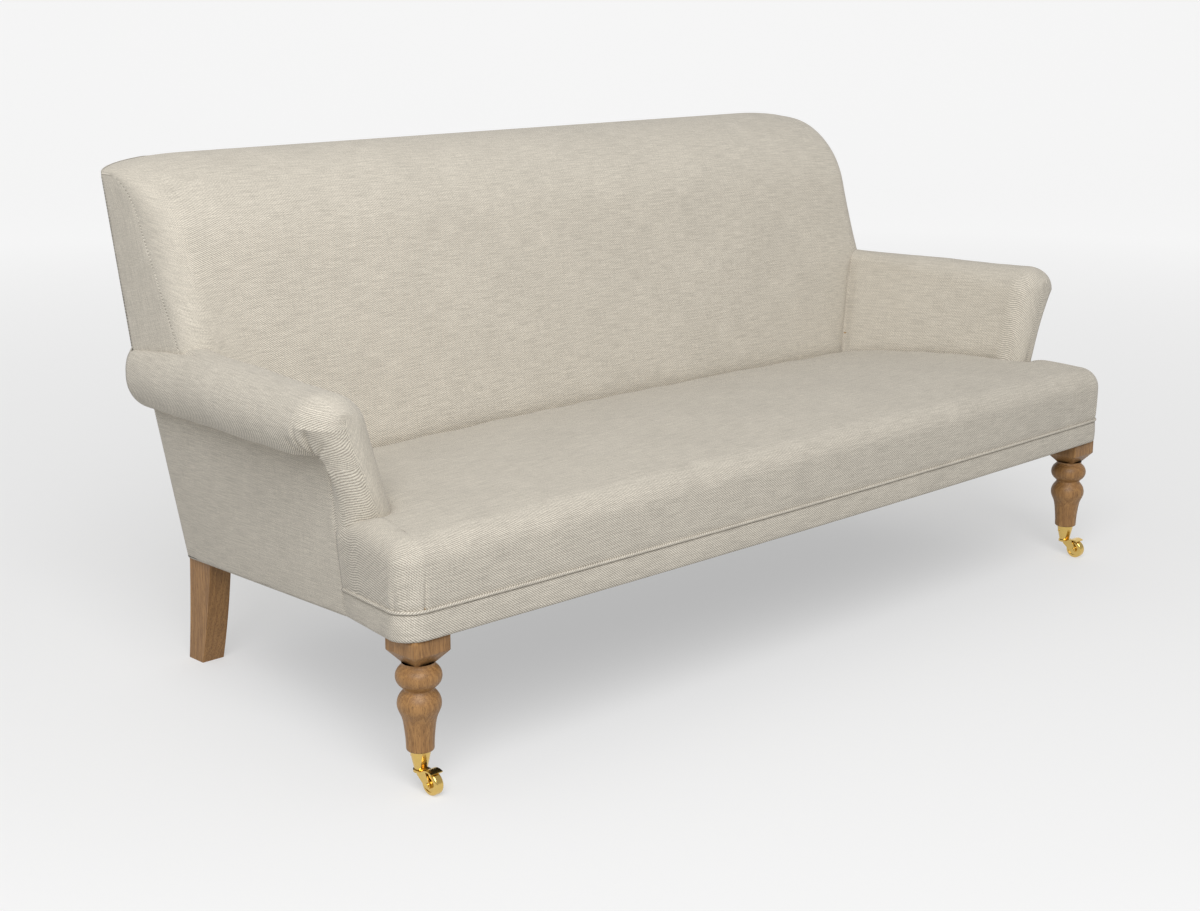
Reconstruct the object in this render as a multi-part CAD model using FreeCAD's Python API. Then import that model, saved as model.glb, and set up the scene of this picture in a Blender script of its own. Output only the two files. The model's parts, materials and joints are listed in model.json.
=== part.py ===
import FreeCAD, Part
import math
import os
from FreeCAD import Vector

# English roll arm sofa, in millimetres. X runs along the sofa, the front is at -Y, and Z is up.
# The origin is on the floor, under the middle of the whole sofa.

# Base of the seat box, which falls from front to rear
base_front_height = 250.6
base_rear_height = 194.6
base_front_y = -430.0
base_rear_y = 343.0
rail_height = 75.0
rail_thickness = 30.0
rail_lift = 3.4
dust_cloth = 1.0
frame_gap = 1.0
post_thickness = 28.0
post_outer_x = 814.0
post_front_y = 280.0
post_step_height = 300.0
post_face_height = 392.0
back_rail_y = 296.0
back_rail_height = 46.0
upright_x = 283.0
brace_height = 45.0
corner_block = 60.0
arm_post_foot = 280.0
arm_post_top = 523.0
arm_post_front_y = -262.0
arm_post_rear_y = -224.0
arm_post_width = 38.0
arm_rail_inner = 40.0
arm_rail_outer = 14.0
arm_rail_width = 54.0
arm_rail_height = 38.0
arm_rail_drop = 10.0
arm_rail_rear_y = 358.0
lower_rail_height = 386.0
lower_rail_depth = 40.0
lower_rail_thickness = 20.0
lower_rail_rear_y = 232.0

# Cloth with its wadding, and the layers under it
cloth = 3.0
seat_pad_lift = 84.0
arm_pad_thickness = 16.0
back_pad_thickness = 72.0
panel_lining = 2.0
hessian_thickness = 1.6
web_thickness = 1.5
web_width = 50.0
fit = 0.3
running_fit = 0.06

# Seat, wider in front of the arms than between them
front_bow = 13.0
front_half_width = 931.0
corner_radius = 40.0
seat_edge_radius = 37.0
seat_front_height = 414.0
seat_mid_height = 425.0
seat_rear_height = 398.0
seat_crown = 12.0
seat_crown_y = -245.0
seat_rear_y = 131.0
seat_tuck = 70.0
border_height = 47.0
piping_radius = 2.8
piping_room = 0.1

# Arms, narrower apart at the rear than at the front
seam_y = -222.0
arm_mid_y = 140.0
arm_rear_y = 372.0
nose_depth = 56.0
nose_narrowing = 0.97
nose_flattening = 0.9
nose_steps = (0.3, 0.55, 0.75, 0.9, 1.0)
inside_height = 400.0
front_inside_x = 820.0
mid_inside_x = 761.6
rear_inside_x = 732.0
front_inside_lean = 0.266
rear_inside_lean = 0.459
front_top_height = 598.0
rear_top_height = 599.0
front_roll_x = 930.0
rear_roll_x = 846.0
front_roll_radius = 52.0
rear_roll_radius = 65.0
arm_top_flat = 6.0
knee_height = 365.0
front_panel_x = 889.0
rear_panel_x = 820.0
front_panel_lean = 0.105
rear_panel_lean = 0.156

# Back, raked and rolled over at the top
back_half_width = 891.0
back_reference_height = 600.0
back_mid_y = 186.0
back_end_y = 220.0
back_mid_rake = 0.265
back_end_rake = 0.5
back_mid_radius = 200.0
back_end_radius = 112.0
back_height = 900.0
back_end_height = 875.0
back_crest_start = 730.0
back_bulge_start = 842.0
back_strips = 6
back_pad_foot = 330.0
flank_x = 790.0
flank_height = 450.0
back_rear_corner = 8.0
rear_knee_height = 540.0
rear_knee_y = 363.0
rear_rake = 0.231
frame_top_height = 850.0

# Front legs, turned, with a square block at the top
leg_x = 880.5
leg_y = -387.0
block_width = 70.0
block_foot = 224.0
block_bevel = 20.0
block_spare = 5.0
neck_radius = 25.8
leg_end_height = 65.0
spigot_foot = 46.0
spigot_radius = 8.4

# Rear legs, sawn, raked and tapered
rear_leg_outer_x = 815.0
rear_leg_width = 44.0
rear_foot_front_y = 318.5
rear_foot_rear_y = 361.8
rear_top_front_y = 277.0
rear_mid_front_y = 295.5
rear_mid_rear_y = 351.0
rear_mid_height = 92.0
rear_top_rear_y = 343.0
rear_leg_spare = 2.0

# Castors
wheel_radius = 18.0
wheel_width = 16.0
wheel_trail = 28.0
wheel_crown = 4.0
wheel_rim = 6.0
recess_depth = 1.2
hub_lip = 2.6
axle_radius = 2.5
axle_head_radius = 3.8
axle_head = 1.4
cheek_thickness = 2.4
cheek_gap = 1.0
eye_radius = 6.4
hood_gap = 1.6
hood_thickness = 2.4
hood_start = math.radians(42.0)
hood_end = math.radians(118.0)
web_setback = 3.0
web_half_width = 8.4
cheek_rear_offset = 4.2
cheek_drop = 2.0
cheek_aim = math.asin(0.6)
cheek_peak_y = 5.0
cheek_peak_rise = 1.0
boss_radius = 12.0
boss_foot = 30.0
cup_foot = 34.0
cup_foot_radius = 10.2
cup_top_radius = 16.8
cup_floor = 6.0
pin_radius = 4.0
pin_head_radius = 6.8
pin_head = 2.6
screw_radius = 1.4
screw_head_radius = 2.6
screw_length = 13.0
screw_head = 1.3
screw_head_sink = 0.4
screw_height_share = 0.66
screw_aims = (math.radians(60.0), math.radians(150.0))
bolt_radius = 4.0
bolt_length = 110.0
rear_bolt_offsets = (18.0, 42.0)

# Springs
spring_count = 9
spring_spacing = 170.0
spring_front_y = -418.0
spring_rear_y = 311.0
spring_loops = 26
spring_straight = 22.0
spring_wire_radius = 1.9
clip_width = 20.0
clip_length = 16.0

# Webbing of the back
upright_webs = 9
upright_web_spacing = 172.0
cross_webs = 4
cross_web_spacing = 88.0
cross_web_foot = 440.0

base_slope = (base_front_height - base_rear_height) / (base_rear_y - base_front_y)
FAR = 2000.0

# Reach of the cutting shapes past the pieces, and margins for picking edges
reach_above = 1000.0
reach_below = 100.0
seat_margin = 20.0
seat_drop = 10.0
rim_margin = 1.0
length_tolerance = 0.1


def base_z(y):
    """Height of the bottom of the seat box at a depth y."""
    return base_front_height - base_slope * (y - base_front_y)


def blend(a, b, share):
    return a + (b - a) * share


def ellipse_ease(u):
    """Rises from 0 to 1 as the edge of an ellipse does."""
    return 1.0 - math.sqrt(max(0.0, 1.0 - u * u))


def line(a, b):
    return Part.LineSegment(a, b).toShape()


def arc(a, m, b):
    return Part.Arc(a, m, b).toShape()


def wire_of(points):
    """Closed wire with straight sides."""
    return Part.makePolygon(points + [points[0]])


def prism(points, way):
    """Straight-sided outline pushed along a vector."""
    return Part.Face(wire_of(points)).extrude(way)


def side_prism(outline, x_low, x_high):
    """Outline of (y, z) points, filled from one x to another."""
    return prism([Vector(x_low, y, z) for y, z in outline], Vector(x_high - x_low, 0, 0))


def mirrored(shape):
    return shape.mirror(Vector(0, 0, 0), Vector(1, 0, 0))


def pair(shape):
    """The right-hand piece and its left-hand twin."""
    return {"right": shape, "left": mirrored(shape)}


def ruled(wires):
    return Part.makeLoft(wires, True, True)


def smooth(wires):
    return Part.makeLoft(wires, True, False)


def above_base(lift, height=FAR):
    """Slab of a height, or all space, that starts at a lift over the bottom of the seat box."""
    front = -FAR
    rear = FAR
    outline = [
        (front, base_z(front) + lift),
        (rear, base_z(rear) + lift),
        (rear, base_z(rear) + lift + height),
        (front, base_z(front) + lift + height),
    ]
    return side_prism(outline, -FAR, FAR)


def rear_y(z):
    """Depth of the rear surface of the sofa at a height z."""
    if z > rear_knee_height:
        return rear_knee_y + rear_rake * (z - rear_knee_height)
    lower = (rear_knee_y - base_rear_y) / (rear_knee_height - base_rear_height)
    return rear_knee_y - lower * (rear_knee_height - z)


def behind(inset):
    """Everything behind the rear surface, moved forward by an inset."""
    outline = [
        (rear_y(0.0) - inset, 0.0),
        (rear_y(rear_knee_height) - inset, rear_knee_height),
        (rear_y(reach_above) - inset, reach_above),
        (FAR, reach_above),
        (FAR, 0.0),
    ]
    return side_prism(outline, -FAR, FAR)


# Seat form

def front_outline(inset, lift):
    """Half of the plan outline, as edges from the middle of the front to the side seam."""
    seam_x = front_panel_x + front_panel_lean * lift - inset
    radius = corner_radius - inset
    half_width = front_half_width - corner_radius
    corner_y = base_front_y + corner_radius
    bow = (half_width ** 2 + front_bow ** 2) / (2 * front_bow)
    bow_centre_y = base_front_y - front_bow + bow
    aim = math.atan2(corner_y - bow_centre_y, half_width)
    reach = math.hypot(corner_y - bow_centre_y, half_width)
    bow_radius = bow - inset
    start = (0.0, bow_centre_y - bow_radius)
    bow_end = (bow_radius * math.cos(aim), bow_centre_y + bow_radius * math.sin(aim))
    middle_aim = (aim - math.pi / 2) / 2
    bow_middle = (bow_radius * math.cos(middle_aim), bow_centre_y + bow_radius * math.sin(middle_aim))
    side_x = seam_x - half_width
    side_y = seam_y - corner_y
    distance = math.hypot(side_x, side_y)
    tangent_aim = math.atan2(side_y, side_x) - math.acos(radius / distance)
    side_start = (half_width + radius * math.cos(tangent_aim), corner_y + radius * math.sin(tangent_aim))
    corner_start = (half_width + radius * math.cos(aim), corner_y + radius * math.sin(aim))
    corner_aim = (aim + tangent_aim) / 2
    corner_middle = (half_width + radius * math.cos(corner_aim), corner_y + radius * math.sin(corner_aim))
    return start, bow_middle, corner_start, corner_middle, side_start, (seam_x, seam_y)


def outline_path(inset, lift):
    """Edges of the front outline, from the right side seam to the left one."""
    start, bow_middle, corner_start, corner_middle, side_start, seam = front_outline(inset, lift)

    def point(spot, side):
        return Vector(side * spot[0], spot[1], base_z(spot[1]) + lift)

    edges = [
        line(point(seam, 1), point(side_start, 1)),
        arc(point(side_start, 1), point(corner_middle, 1), point(corner_start, 1)),
        arc(point(corner_start, 1), point(start, 1), point(corner_start, -1)),
        arc(point(corner_start, -1), point(corner_middle, -1), point(side_start, -1)),
        line(point(side_start, -1), point(seam, -1)),
    ]
    return edges



def seat_plan(inset, lift):
    """Closed plan outline of the seat, wide in front and tucked between the arms behind."""
    edges = outline_path(inset, lift)
    first = edges[0].Vertexes[0].Point
    last = edges[-1].Vertexes[-1].Point
    tuck_y = seat_rear_y + seat_tuck
    shoulder_x = (front_inside_x + front_panel_x) / 2
    tail_x = (mid_inside_x + rear_panel_x) / 2

    def corner(x, y):
        return Vector(x, y, base_z(y) + lift)

    loop = [
        last,
        corner(-shoulder_x, seam_y),
        corner(-tail_x, tuck_y),
        corner(tail_x, tuck_y),
        corner(shoulder_x, seam_y),
        first,
    ]
    for a, b in zip(loop, loop[1:]):
        edges.append(line(a, b))
    return Part.Wire(edges)


def under_seat_top(inset):
    """Everything under the crowned top of the seat."""
    reach = front_half_width + seat_margin
    front = base_front_y - front_bow - seat_margin
    rear = seat_rear_y + seat_tuck + seat_margin

    def section(x):
        fall = seat_crown * (x / front_half_width) ** 2 + inset
        a = Vector(x, base_front_y, seat_front_height - fall)
        m = Vector(x, seat_crown_y, seat_mid_height - fall)
        b = Vector(x, seat_rear_y, seat_rear_height - fall)
        circle = arc(a, m, b).Curve
        centre = circle.Center
        top_front = Vector(x, front, centre.z + math.sqrt(circle.Radius ** 2 - (front - centre.y) ** 2))
        top_rear = Vector(x, rear, centre.z + math.sqrt(circle.Radius ** 2 - (rear - centre.y) ** 2))
        low_front = Vector(x, front, 0)
        low_rear = Vector(x, rear, 0)
        edges = [
            arc(top_front, m, top_rear),
            line(top_rear, low_rear),
            line(low_rear, low_front),
            line(low_front, top_front),
        ]
        return Part.Wire(edges)

    return smooth([section(-reach), section(0.0), section(reach)])


def seat_form(inset):
    """Outer shape of the upholstered seat, moved inward by an inset."""
    body = ruled([seat_plan(inset, -seat_drop), seat_plan(inset, seat_mid_height)])
    body = body.common(under_seat_top(inset))
    rim = []
    for edge in body.Edges:
        box = edge.BoundBox
        level = (seat_front_height + base_front_height) / 2
        if box.ZMin > level and box.Center.y < seam_y - rim_margin:
            rim.append(edge)
    return body.makeFillet(seat_edge_radius - inset, rim)


# Arm form

def arm_sizes(y):
    """Sizes of the arm's cross-section at a depth y behind the side seam."""
    share = (y - seam_y) / (arm_rear_y - seam_y)
    if y < arm_mid_y:
        part_way = (y - seam_y) / (arm_mid_y - seam_y)
        inside_x = blend(front_inside_x, mid_inside_x, part_way)
        lean = blend(front_inside_lean, rear_inside_lean, part_way)
    else:
        part_way = (y - arm_mid_y) / (arm_rear_y - arm_mid_y)
        inside_x = blend(mid_inside_x, rear_inside_x, part_way)
        lean = rear_inside_lean
    return {
        "inside_x": inside_x,
        "inside_lean": lean,
        "top": blend(front_top_height, rear_top_height, share),
        "roll_x": blend(front_roll_x, rear_roll_x, share),
        "roll_radius": blend(front_roll_radius, rear_roll_radius, share),
        "panel_x": blend(front_panel_x, rear_panel_x, share),
        "panel_lean": blend(front_panel_lean, rear_panel_lean, share),
    }


def arm_spots(y, inset, panel_inset):
    """Corners and arc middles of the arm's cross-section, as (x, z), each face moved inward."""
    size = arm_sizes(y)
    lean = size["inside_lean"]
    stretch = math.sqrt(1 + lean ** 2)
    across = size["roll_x"] - arm_top_flat - size["inside_x"] - lean * (size["top"] - inside_height)
    full_radius = across / (stretch - lean)
    shoulder_radius = full_radius - inset
    shoulder_z = size["top"] - full_radius
    face_x = size["inside_x"] + inset * stretch
    shoulder_x = face_x + lean * (shoulder_z - inside_height) + shoulder_radius * stretch
    roll_radius = size["roll_radius"] - inset
    roll_x = size["roll_x"]
    roll_z = size["top"] - size["roll_radius"]
    face_aim = math.pi - math.atan(lean)
    panel_lean = size["panel_lean"]
    panel_foot = size["panel_x"] - panel_inset * math.sqrt(1 + panel_lean ** 2)
    offset = panel_foot - panel_lean * base_z(y)
    a = 1 + panel_lean ** 2
    b = 2 * (panel_lean * (offset - roll_x) - roll_z)
    c = (offset - roll_x) ** 2 + roll_z ** 2 - roll_radius ** 2
    crease_z = (-b - math.sqrt(b * b - 4 * a * c)) / (2 * a)
    crease_x = offset + panel_lean * crease_z
    crease_aim = math.atan2(crease_z - roll_z, crease_x - roll_x)
    side_aim = crease_aim / 2
    up = math.pi / 2

    def shoulder(aim):
        return (shoulder_x + shoulder_radius * math.cos(aim), shoulder_z + shoulder_radius * math.sin(aim))

    def roll(aim):
        return (roll_x + roll_radius * math.cos(aim), roll_z + roll_radius * math.sin(aim))

    knee_x = face_x + lean * (knee_height - inside_height)
    low_z = base_z(y) - 10.0
    return [
        (knee_x, low_z),
        (knee_x, knee_height),
        shoulder(face_aim),
        shoulder((face_aim + up) / 2),
        shoulder(up),
        roll(up),
        roll((up + side_aim) / 2),
        roll(side_aim),
        roll((side_aim + crease_aim) / 2),
        (crease_x, crease_z),
        (offset + panel_lean * low_z, low_z),
    ]


def arm_wire(spots, y, narrowing, flattening):
    """Cross-section of the arm at a depth y, drawn in towards the middle of the arm."""
    knee, crease = spots[1], spots[9]
    roll_z = (spots[5][1] + crease[1]) / 2
    roll_middle = (spots[3][0] + spots[7][0]) / 2
    foot_middle = (knee[0] + crease[0]) / 2 - (crease[0] - spots[10][0]) / 2

    def placed(spot):
        x, z = spot
        share = min(1.0, max(0.0, (z - knee[1]) / (roll_z - knee[1])))
        middle = blend(foot_middle, roll_middle, share)
        if z > roll_z:
            z = roll_z + (z - roll_z) * flattening
        return Vector(middle + (x - middle) * narrowing, y, z)

    p = [placed(spot) for spot in spots]
    edges = [
        line(p[0], p[1]),
        line(p[1], p[2]),
        arc(p[2], p[3], p[4]),
        line(p[4], p[5]),
        arc(p[5], p[6], p[7]),
        arc(p[7], p[8], p[9]),
        line(p[9], p[10]),
        line(p[10], p[0]),
    ]
    return Part.Wire(edges)


def arm_form(inset, panel_inset):
    """Outer shape of the right arm, moved inward by insets, ending in a rounded nose."""
    stations = (arm_rear_y, arm_mid_y, seam_y)
    main = ruled([arm_wire(arm_spots(y, inset, panel_inset), y, 1.0, 1.0) for y in stations])
    spots = arm_spots(seam_y, inset, panel_inset)
    sections = [arm_wire(spots, seam_y, 1.0, 1.0)]
    for u in nose_steps:
        narrowing = 1.0 - ellipse_ease(u * nose_narrowing)
        flattening = 1.0 - ellipse_ease(u * nose_flattening)
        sections.append(arm_wire(spots, seam_y - (nose_depth - inset) * u, narrowing, flattening))
    return main.fuse(smooth(sections)).common(above_base(0.0))


# Back form

def back_section(x, inset):
    """Cross-section of the back at a distance x from the middle, moved inward by an inset."""
    half_width = back_half_width - inset
    bulge = ellipse_ease(max(0.0, (abs(x) - back_bulge_start) / (half_width - back_bulge_start)))
    crest = ellipse_ease(max(0.0, (abs(x) - back_crest_start) / (half_width - back_crest_start)))
    rake = blend(back_mid_rake, back_end_rake, bulge)
    radius = blend(back_mid_radius, back_end_radius, bulge) - inset
    reference_y = blend(back_mid_y, back_end_y, bulge) + inset * math.sqrt(1 + rake ** 2)
    top = blend(back_height, back_end_height, crest) - inset
    aim = math.atan(1 / rake)
    start_z = top - radius * (1 - math.cos(aim))
    start_y = reference_y + rake * (start_z - back_reference_height)
    centre_y = start_y + radius * math.sin(aim)

    def roll(turn):
        return Vector(x, centre_y - radius * math.sin(turn), top - radius * (1 - math.cos(turn)))

    corner = back_rear_corner - inset
    upper_stretch = math.sqrt(1 + rear_rake ** 2)
    rear_top = Vector(x, rear_y(top - corner) - inset * upper_stretch, top - corner)
    knee = Vector(x, rear_y(rear_knee_height) - inset, rear_knee_height)
    foot_z = base_z(base_rear_y) - 10.0
    foot = Vector(x, rear_y(foot_z) - inset, foot_z)
    heel = Vector(x, reference_y + rake * (foot_z - back_reference_height), foot_z)
    top_rear = Vector(x, rear_top.y - corner, top)
    turn = math.pi / 4
    corner_middle = Vector(x, rear_top.y - corner * (1 - math.sin(turn)), top - corner * (1 - math.cos(turn)))
    edges = [
        line(heel, roll(aim)),
        arc(roll(aim), roll(aim / 2), roll(0.0)),
        line(roll(0.0), top_rear),
        arc(top_rear, corner_middle, rear_top),
        line(rear_top, knee),
        line(knee, foot),
        line(foot, heel),
    ]
    return Part.Wire(edges)


def back_flanks():
    """Room beside the back that only the arms fill, under their rolls."""
    roll_z = rear_top_height - rear_roll_radius
    high = Part.makeBox(FAR, 2 * FAR, roll_z, Vector(rear_roll_x, -FAR, 0))
    low = Part.makeBox(FAR, 2 * FAR, flank_height, Vector(flank_x, -FAR, 0))
    right = high.fuse(low)
    return right.fuse(mirrored(right))


def back_form(inset):
    """Outer shape of the upholstered back, moved inward by an inset."""
    half_width = back_half_width - inset
    right = []
    for step in range(back_strips):
        turn = math.pi / 2 * step / back_strips
        right.append(blend(back_crest_start, back_bulge_start, math.sin(turn)))
    for step in range(back_strips + 1):
        turn = math.pi / 2 * step / back_strips
        right.append(blend(back_bulge_start, half_width, math.sin(turn)))
    left = [-x for x in reversed(right)]
    body = ruled([back_section(x, inset) for x in left + right])
    return body.common(above_base(0.0)).cut(back_flanks())


# Zones that trim the covers and pads to one another

def within_plan(inset):
    """Column inside the whole plan of the base, moved inward by an inset."""
    path = outline_path(inset, 0.0)
    first = path[0].Vertexes[0].Point
    last = path[-1].Vertexes[-1].Point
    rear_x = rear_panel_x - inset * math.sqrt(1 + front_panel_lean ** 2)
    rear_right = Vector(rear_x, arm_rear_y, base_z(arm_rear_y))
    rear_left = Vector(-rear_x, arm_rear_y, base_z(arm_rear_y))
    loop = path + [line(last, rear_left), line(rear_left, rear_right), line(rear_right, first)]
    face = Part.Face(Part.Wire(loop))
    face.translate(Vector(0, 0, -reach_below))
    return face.extrude(Vector(0, 0, reach_above)).cut(behind(inset))


def leg_column(growth):
    """Room for the square blocks of the front legs and the tops of the rear legs."""
    half = block_width / 2 + growth
    front = Part.makeBox(2 * half, 2 * half, FAR, Vector(leg_x - half, leg_y - half, 0))
    width = rear_leg_width + 2 * growth
    depth = rear_top_rear_y - rear_top_front_y + 2 * growth
    corner = Vector(rear_leg_outer_x - rear_leg_width - growth, rear_top_front_y - growth, 0)
    rear = Part.makeBox(width, depth, FAR, corner)
    right = front.fuse(rear)
    return right.fuse(mirrored(right))


def panel_wedge(inset):
    """Right-hand slab of the outside arm, from the seam to the rear, between the face and an inset."""
    sections = []
    for y in (seam_y, arm_mid_y, arm_rear_y):
        spots = arm_spots(y, 0.0, 0.0)
        inner = arm_spots(y, inset, inset)
        low, high = spots[10], spots[9]
        inner_low, inner_high = inner[10], inner[9]
        sections.append(wire_of([
            Vector(low[0], y, low[1]),
            Vector(high[0], y, high[1]),
            Vector(inner_high[0], y, inner_high[1]),
            Vector(inner_low[0], y, inner_low[1]),
        ]))
    return ruled(sections)


def build_covers(arms, back, frame):
    """Cloth over the arms, the back and the seat, each piece a shell under the outer form."""
    parts = {}
    tail = behind(cloth)
    above_rails = above_base(rail_height)
    arm_out = arm_form(0.0, 0.0)
    arm_in = arm_form(cloth, cloth)
    wedge = panel_wedge(cloth)

    panel = wedge.common(above_base(0.0)).cut(tail)
    arm_shell = arm_out.cut(arm_in).cut(wedge).common(above_rails).cut(tail)
    for name in ("right_back_post", "right_arm_post", "back_lower_rail"):
        arm_shell = arm_shell.cut(frame[name])
    arm_shell = arm_shell.cut(Part.makeCompound(webs()))
    back_shell = back.cut(back_form(cloth)).cut(arms).cut(tail).common(above_floor(back_pad_foot))
    side_slab = Part.makeBox(cloth, FAR, FAR, Vector(back_half_width - cloth, -FAR / 2, 0))
    singles = {
        "outside_arm_cover": panel,
        "arm_cover": arm_shell,
        "back_side_cover": back_shell.common(side_slab),
    }
    for name, shape in singles.items():
        for side, piece in pair(shape).items():
            parts[side + "_" + name] = piece
    parts["inside_back_cover"] = back_shell.cut(side_slab.fuse(mirrored(side_slab)))
    parts["outside_back_cover"] = back.fuse(arms).common(tail).cut(behind(0.0))

    shell = seat_form(0.0).cut(seat_form(cloth)).common(above_base(0.0))
    front = Part.makeBox(FAR, FAR, FAR, Vector(-FAR / 2, seam_y - FAR, 0))
    groove = piping_radius + piping_room
    border = shell.common(above_base(0.0, border_height - groove))
    lower = shell.common(above_base(border_height + groove, seat_pad_lift - border_height - groove)).common(front)
    upper = shell.common(above_base(seat_pad_lift))
    parts["front_border"] = border.cut(arms).common(front)
    parts["seat_cover"] = upper.fuse(lower).cut(arms).cut(back).removeSplitter()
    parts["seat_piping"] = piping_tube(piping_radius)
    return parts


def above_floor(height):
    return Part.makeBox(2 * FAR, 2 * FAR, FAR, Vector(-FAR, -FAR, height))


def build_pads(arms, back, frame):
    """Padding under the cloth, with the webbing and the cloth layers that carry it."""
    parts = {}
    tail = behind(cloth)
    arm_pad = arm_form(cloth, cloth)
    arm_pad = arm_pad.cut(arm_form(cloth + arm_pad_thickness, cloth + panel_lining))
    arm_pad = arm_pad.common(above_base(rail_height)).cut(tail)
    for name in ("back_post", "arm_post", "arm_top_rail", "arm_lower_rail"):
        arm_pad = arm_pad.cut(frame["right_" + name])
    arm_pad = arm_pad.cut(frame["back_lower_rail"]).cut(Part.makeCompound(webs()))
    for side, piece in pair(arm_pad).items():
        parts[side + "_arm_pad"] = piece

    cavity = side_prism([
        (web_plane_y(0.0), 0.0),
        (web_plane_y(frame_top_height), frame_top_height),
        (FAR, frame_top_height),
        (FAR, 0.0),
    ], -post_outer_x, post_outer_x)
    back_pad = back_form(cloth).cut(arms).cut(tail).cut(cavity)
    parts["back_pad"] = back_pad.common(above_floor(back_pad_foot))
    parts["back_webbing"] = Part.makeCompound(webs())

    seat_pad = seat_form(cloth).cut(arms).cut(back).common(above_base(seat_pad_lift))
    parts["seat_pad"] = seat_pad
    plan = within_plan(cloth + fit)
    hessian_lift = seat_pad_lift - hessian_thickness
    hessian = above_base(hessian_lift, hessian_thickness).common(plan).cut(arms)
    hessian = hessian.cut(Part.makeBox(2 * FAR, FAR, FAR, Vector(-FAR, back_rail_y + rail_thickness, 0)))
    parts["seat_hessian"] = hessian
    parts["dust_cover"] = above_base(rail_lift - dust_cloth, dust_cloth).common(plan).cut(leg_column(fit))
    return parts


def web_plane_y(z):
    """Front of the webbing at a height z."""
    return frame_plane_y(z) - 2 * web_thickness


def webs():
    """Webbing strips of the back, upright ones on the rails and cross ones over them."""
    strips = []
    thick = web_thickness * math.sqrt(1 + back_mid_rake ** 2)
    for step in range(upright_webs):
        x = (step - (upright_webs - 1) / 2) * upright_web_spacing - web_width / 2
        outline = [
            (frame_plane_y(post_face_height), post_face_height),
            (frame_plane_y(post_face_height) - web_thickness, post_face_height),
            (frame_plane_y(frame_top_height) - web_thickness, frame_top_height),
            (frame_plane_y(frame_top_height), frame_top_height),
        ]
        strips.append(side_prism(outline, x, x + web_width))
    for step in range(cross_webs):
        low = cross_web_foot + step * cross_web_spacing
        high = low + web_width
        outline = [
            (web_plane_y(low), low),
            (web_plane_y(low) + web_thickness, low),
            (web_plane_y(high) + web_thickness, high),
            (web_plane_y(high), high),
        ]
        strips.append(side_prism(outline, -post_outer_x, post_outer_x))
    return strips


def piping_path():
    return Part.Wire(outline_path(0.0, border_height))


def piping_tube(radius):
    path = piping_path()
    edge = path.Edges[0]
    start = edge.Vertexes[0].Point
    way = edge.tangentAt(edge.FirstParameter)
    ring = Part.Wire(Part.makeCircle(radius, start, way))
    return path.makePipeShell([ring], True, False)


# Hardwood frame

def frame_plane_y(z):
    """Front of the back frame, behind the pad and its webbing, at a height z."""
    stretch = math.sqrt(1 + back_mid_rake ** 2)
    return back_mid_y + back_mid_rake * (z - back_reference_height) + (cloth + back_pad_thickness) * stretch


def side_rail_x(y):
    """Outer face of the right side rail at a depth y."""
    slope = (front_panel_x - rear_panel_x) / (arm_rear_y - seam_y)
    return front_panel_x - cloth - panel_lining - slope * (y - seam_y)


def pitched_box(x_low, x_high, y_low, y_high, lift, height):
    """Box whose bottom and top follow the fall of the seat box."""
    outline = [
        (y_low, base_z(y_low) + lift),
        (y_high, base_z(y_high) + lift),
        (y_high, base_z(y_high) + lift + height),
        (y_low, base_z(y_low) + lift + height),
    ]
    return side_prism(outline, x_low, x_high)


def post_outline():
    """Side view of a back post, from the seat box to the top of the back."""
    foot = base_z(base_rear_y)
    rear = cloth + frame_gap
    return [
        (post_front_y, foot),
        (post_front_y, post_step_height),
        (frame_plane_y(post_face_height), post_face_height),
        (frame_plane_y(frame_top_height), frame_top_height),
        (rear_y(frame_top_height) - rear, frame_top_height),
        (rear_y(rear_knee_height) - rear, rear_knee_height),
        (rear_y(foot) - rear, foot),
    ]


def quad_beam(near, far):
    """Beam between two upright rectangles, each (y, x_low, x_high, z_low, z_high)."""
    wires = []
    for y, x_low, x_high, z_low, z_high in (near, far):
        wires.append(wire_of([
            Vector(x_low, y, z_low),
            Vector(x_high, y, z_low),
            Vector(x_high, y, z_high),
            Vector(x_low, y, z_high),
        ]))
    return ruled(wires)


def raked_rail(z_low, z_high, depth, x_low, x_high):
    """Rail of the back frame whose front lies in the frame plane."""
    outline = [
        (frame_plane_y(z_low), z_low),
        (frame_plane_y(z_high), z_high),
        (frame_plane_y(z_high) + depth, z_high),
        (frame_plane_y(z_low) + depth, z_low),
    ]
    return side_prism(outline, x_low, x_high)


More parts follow.
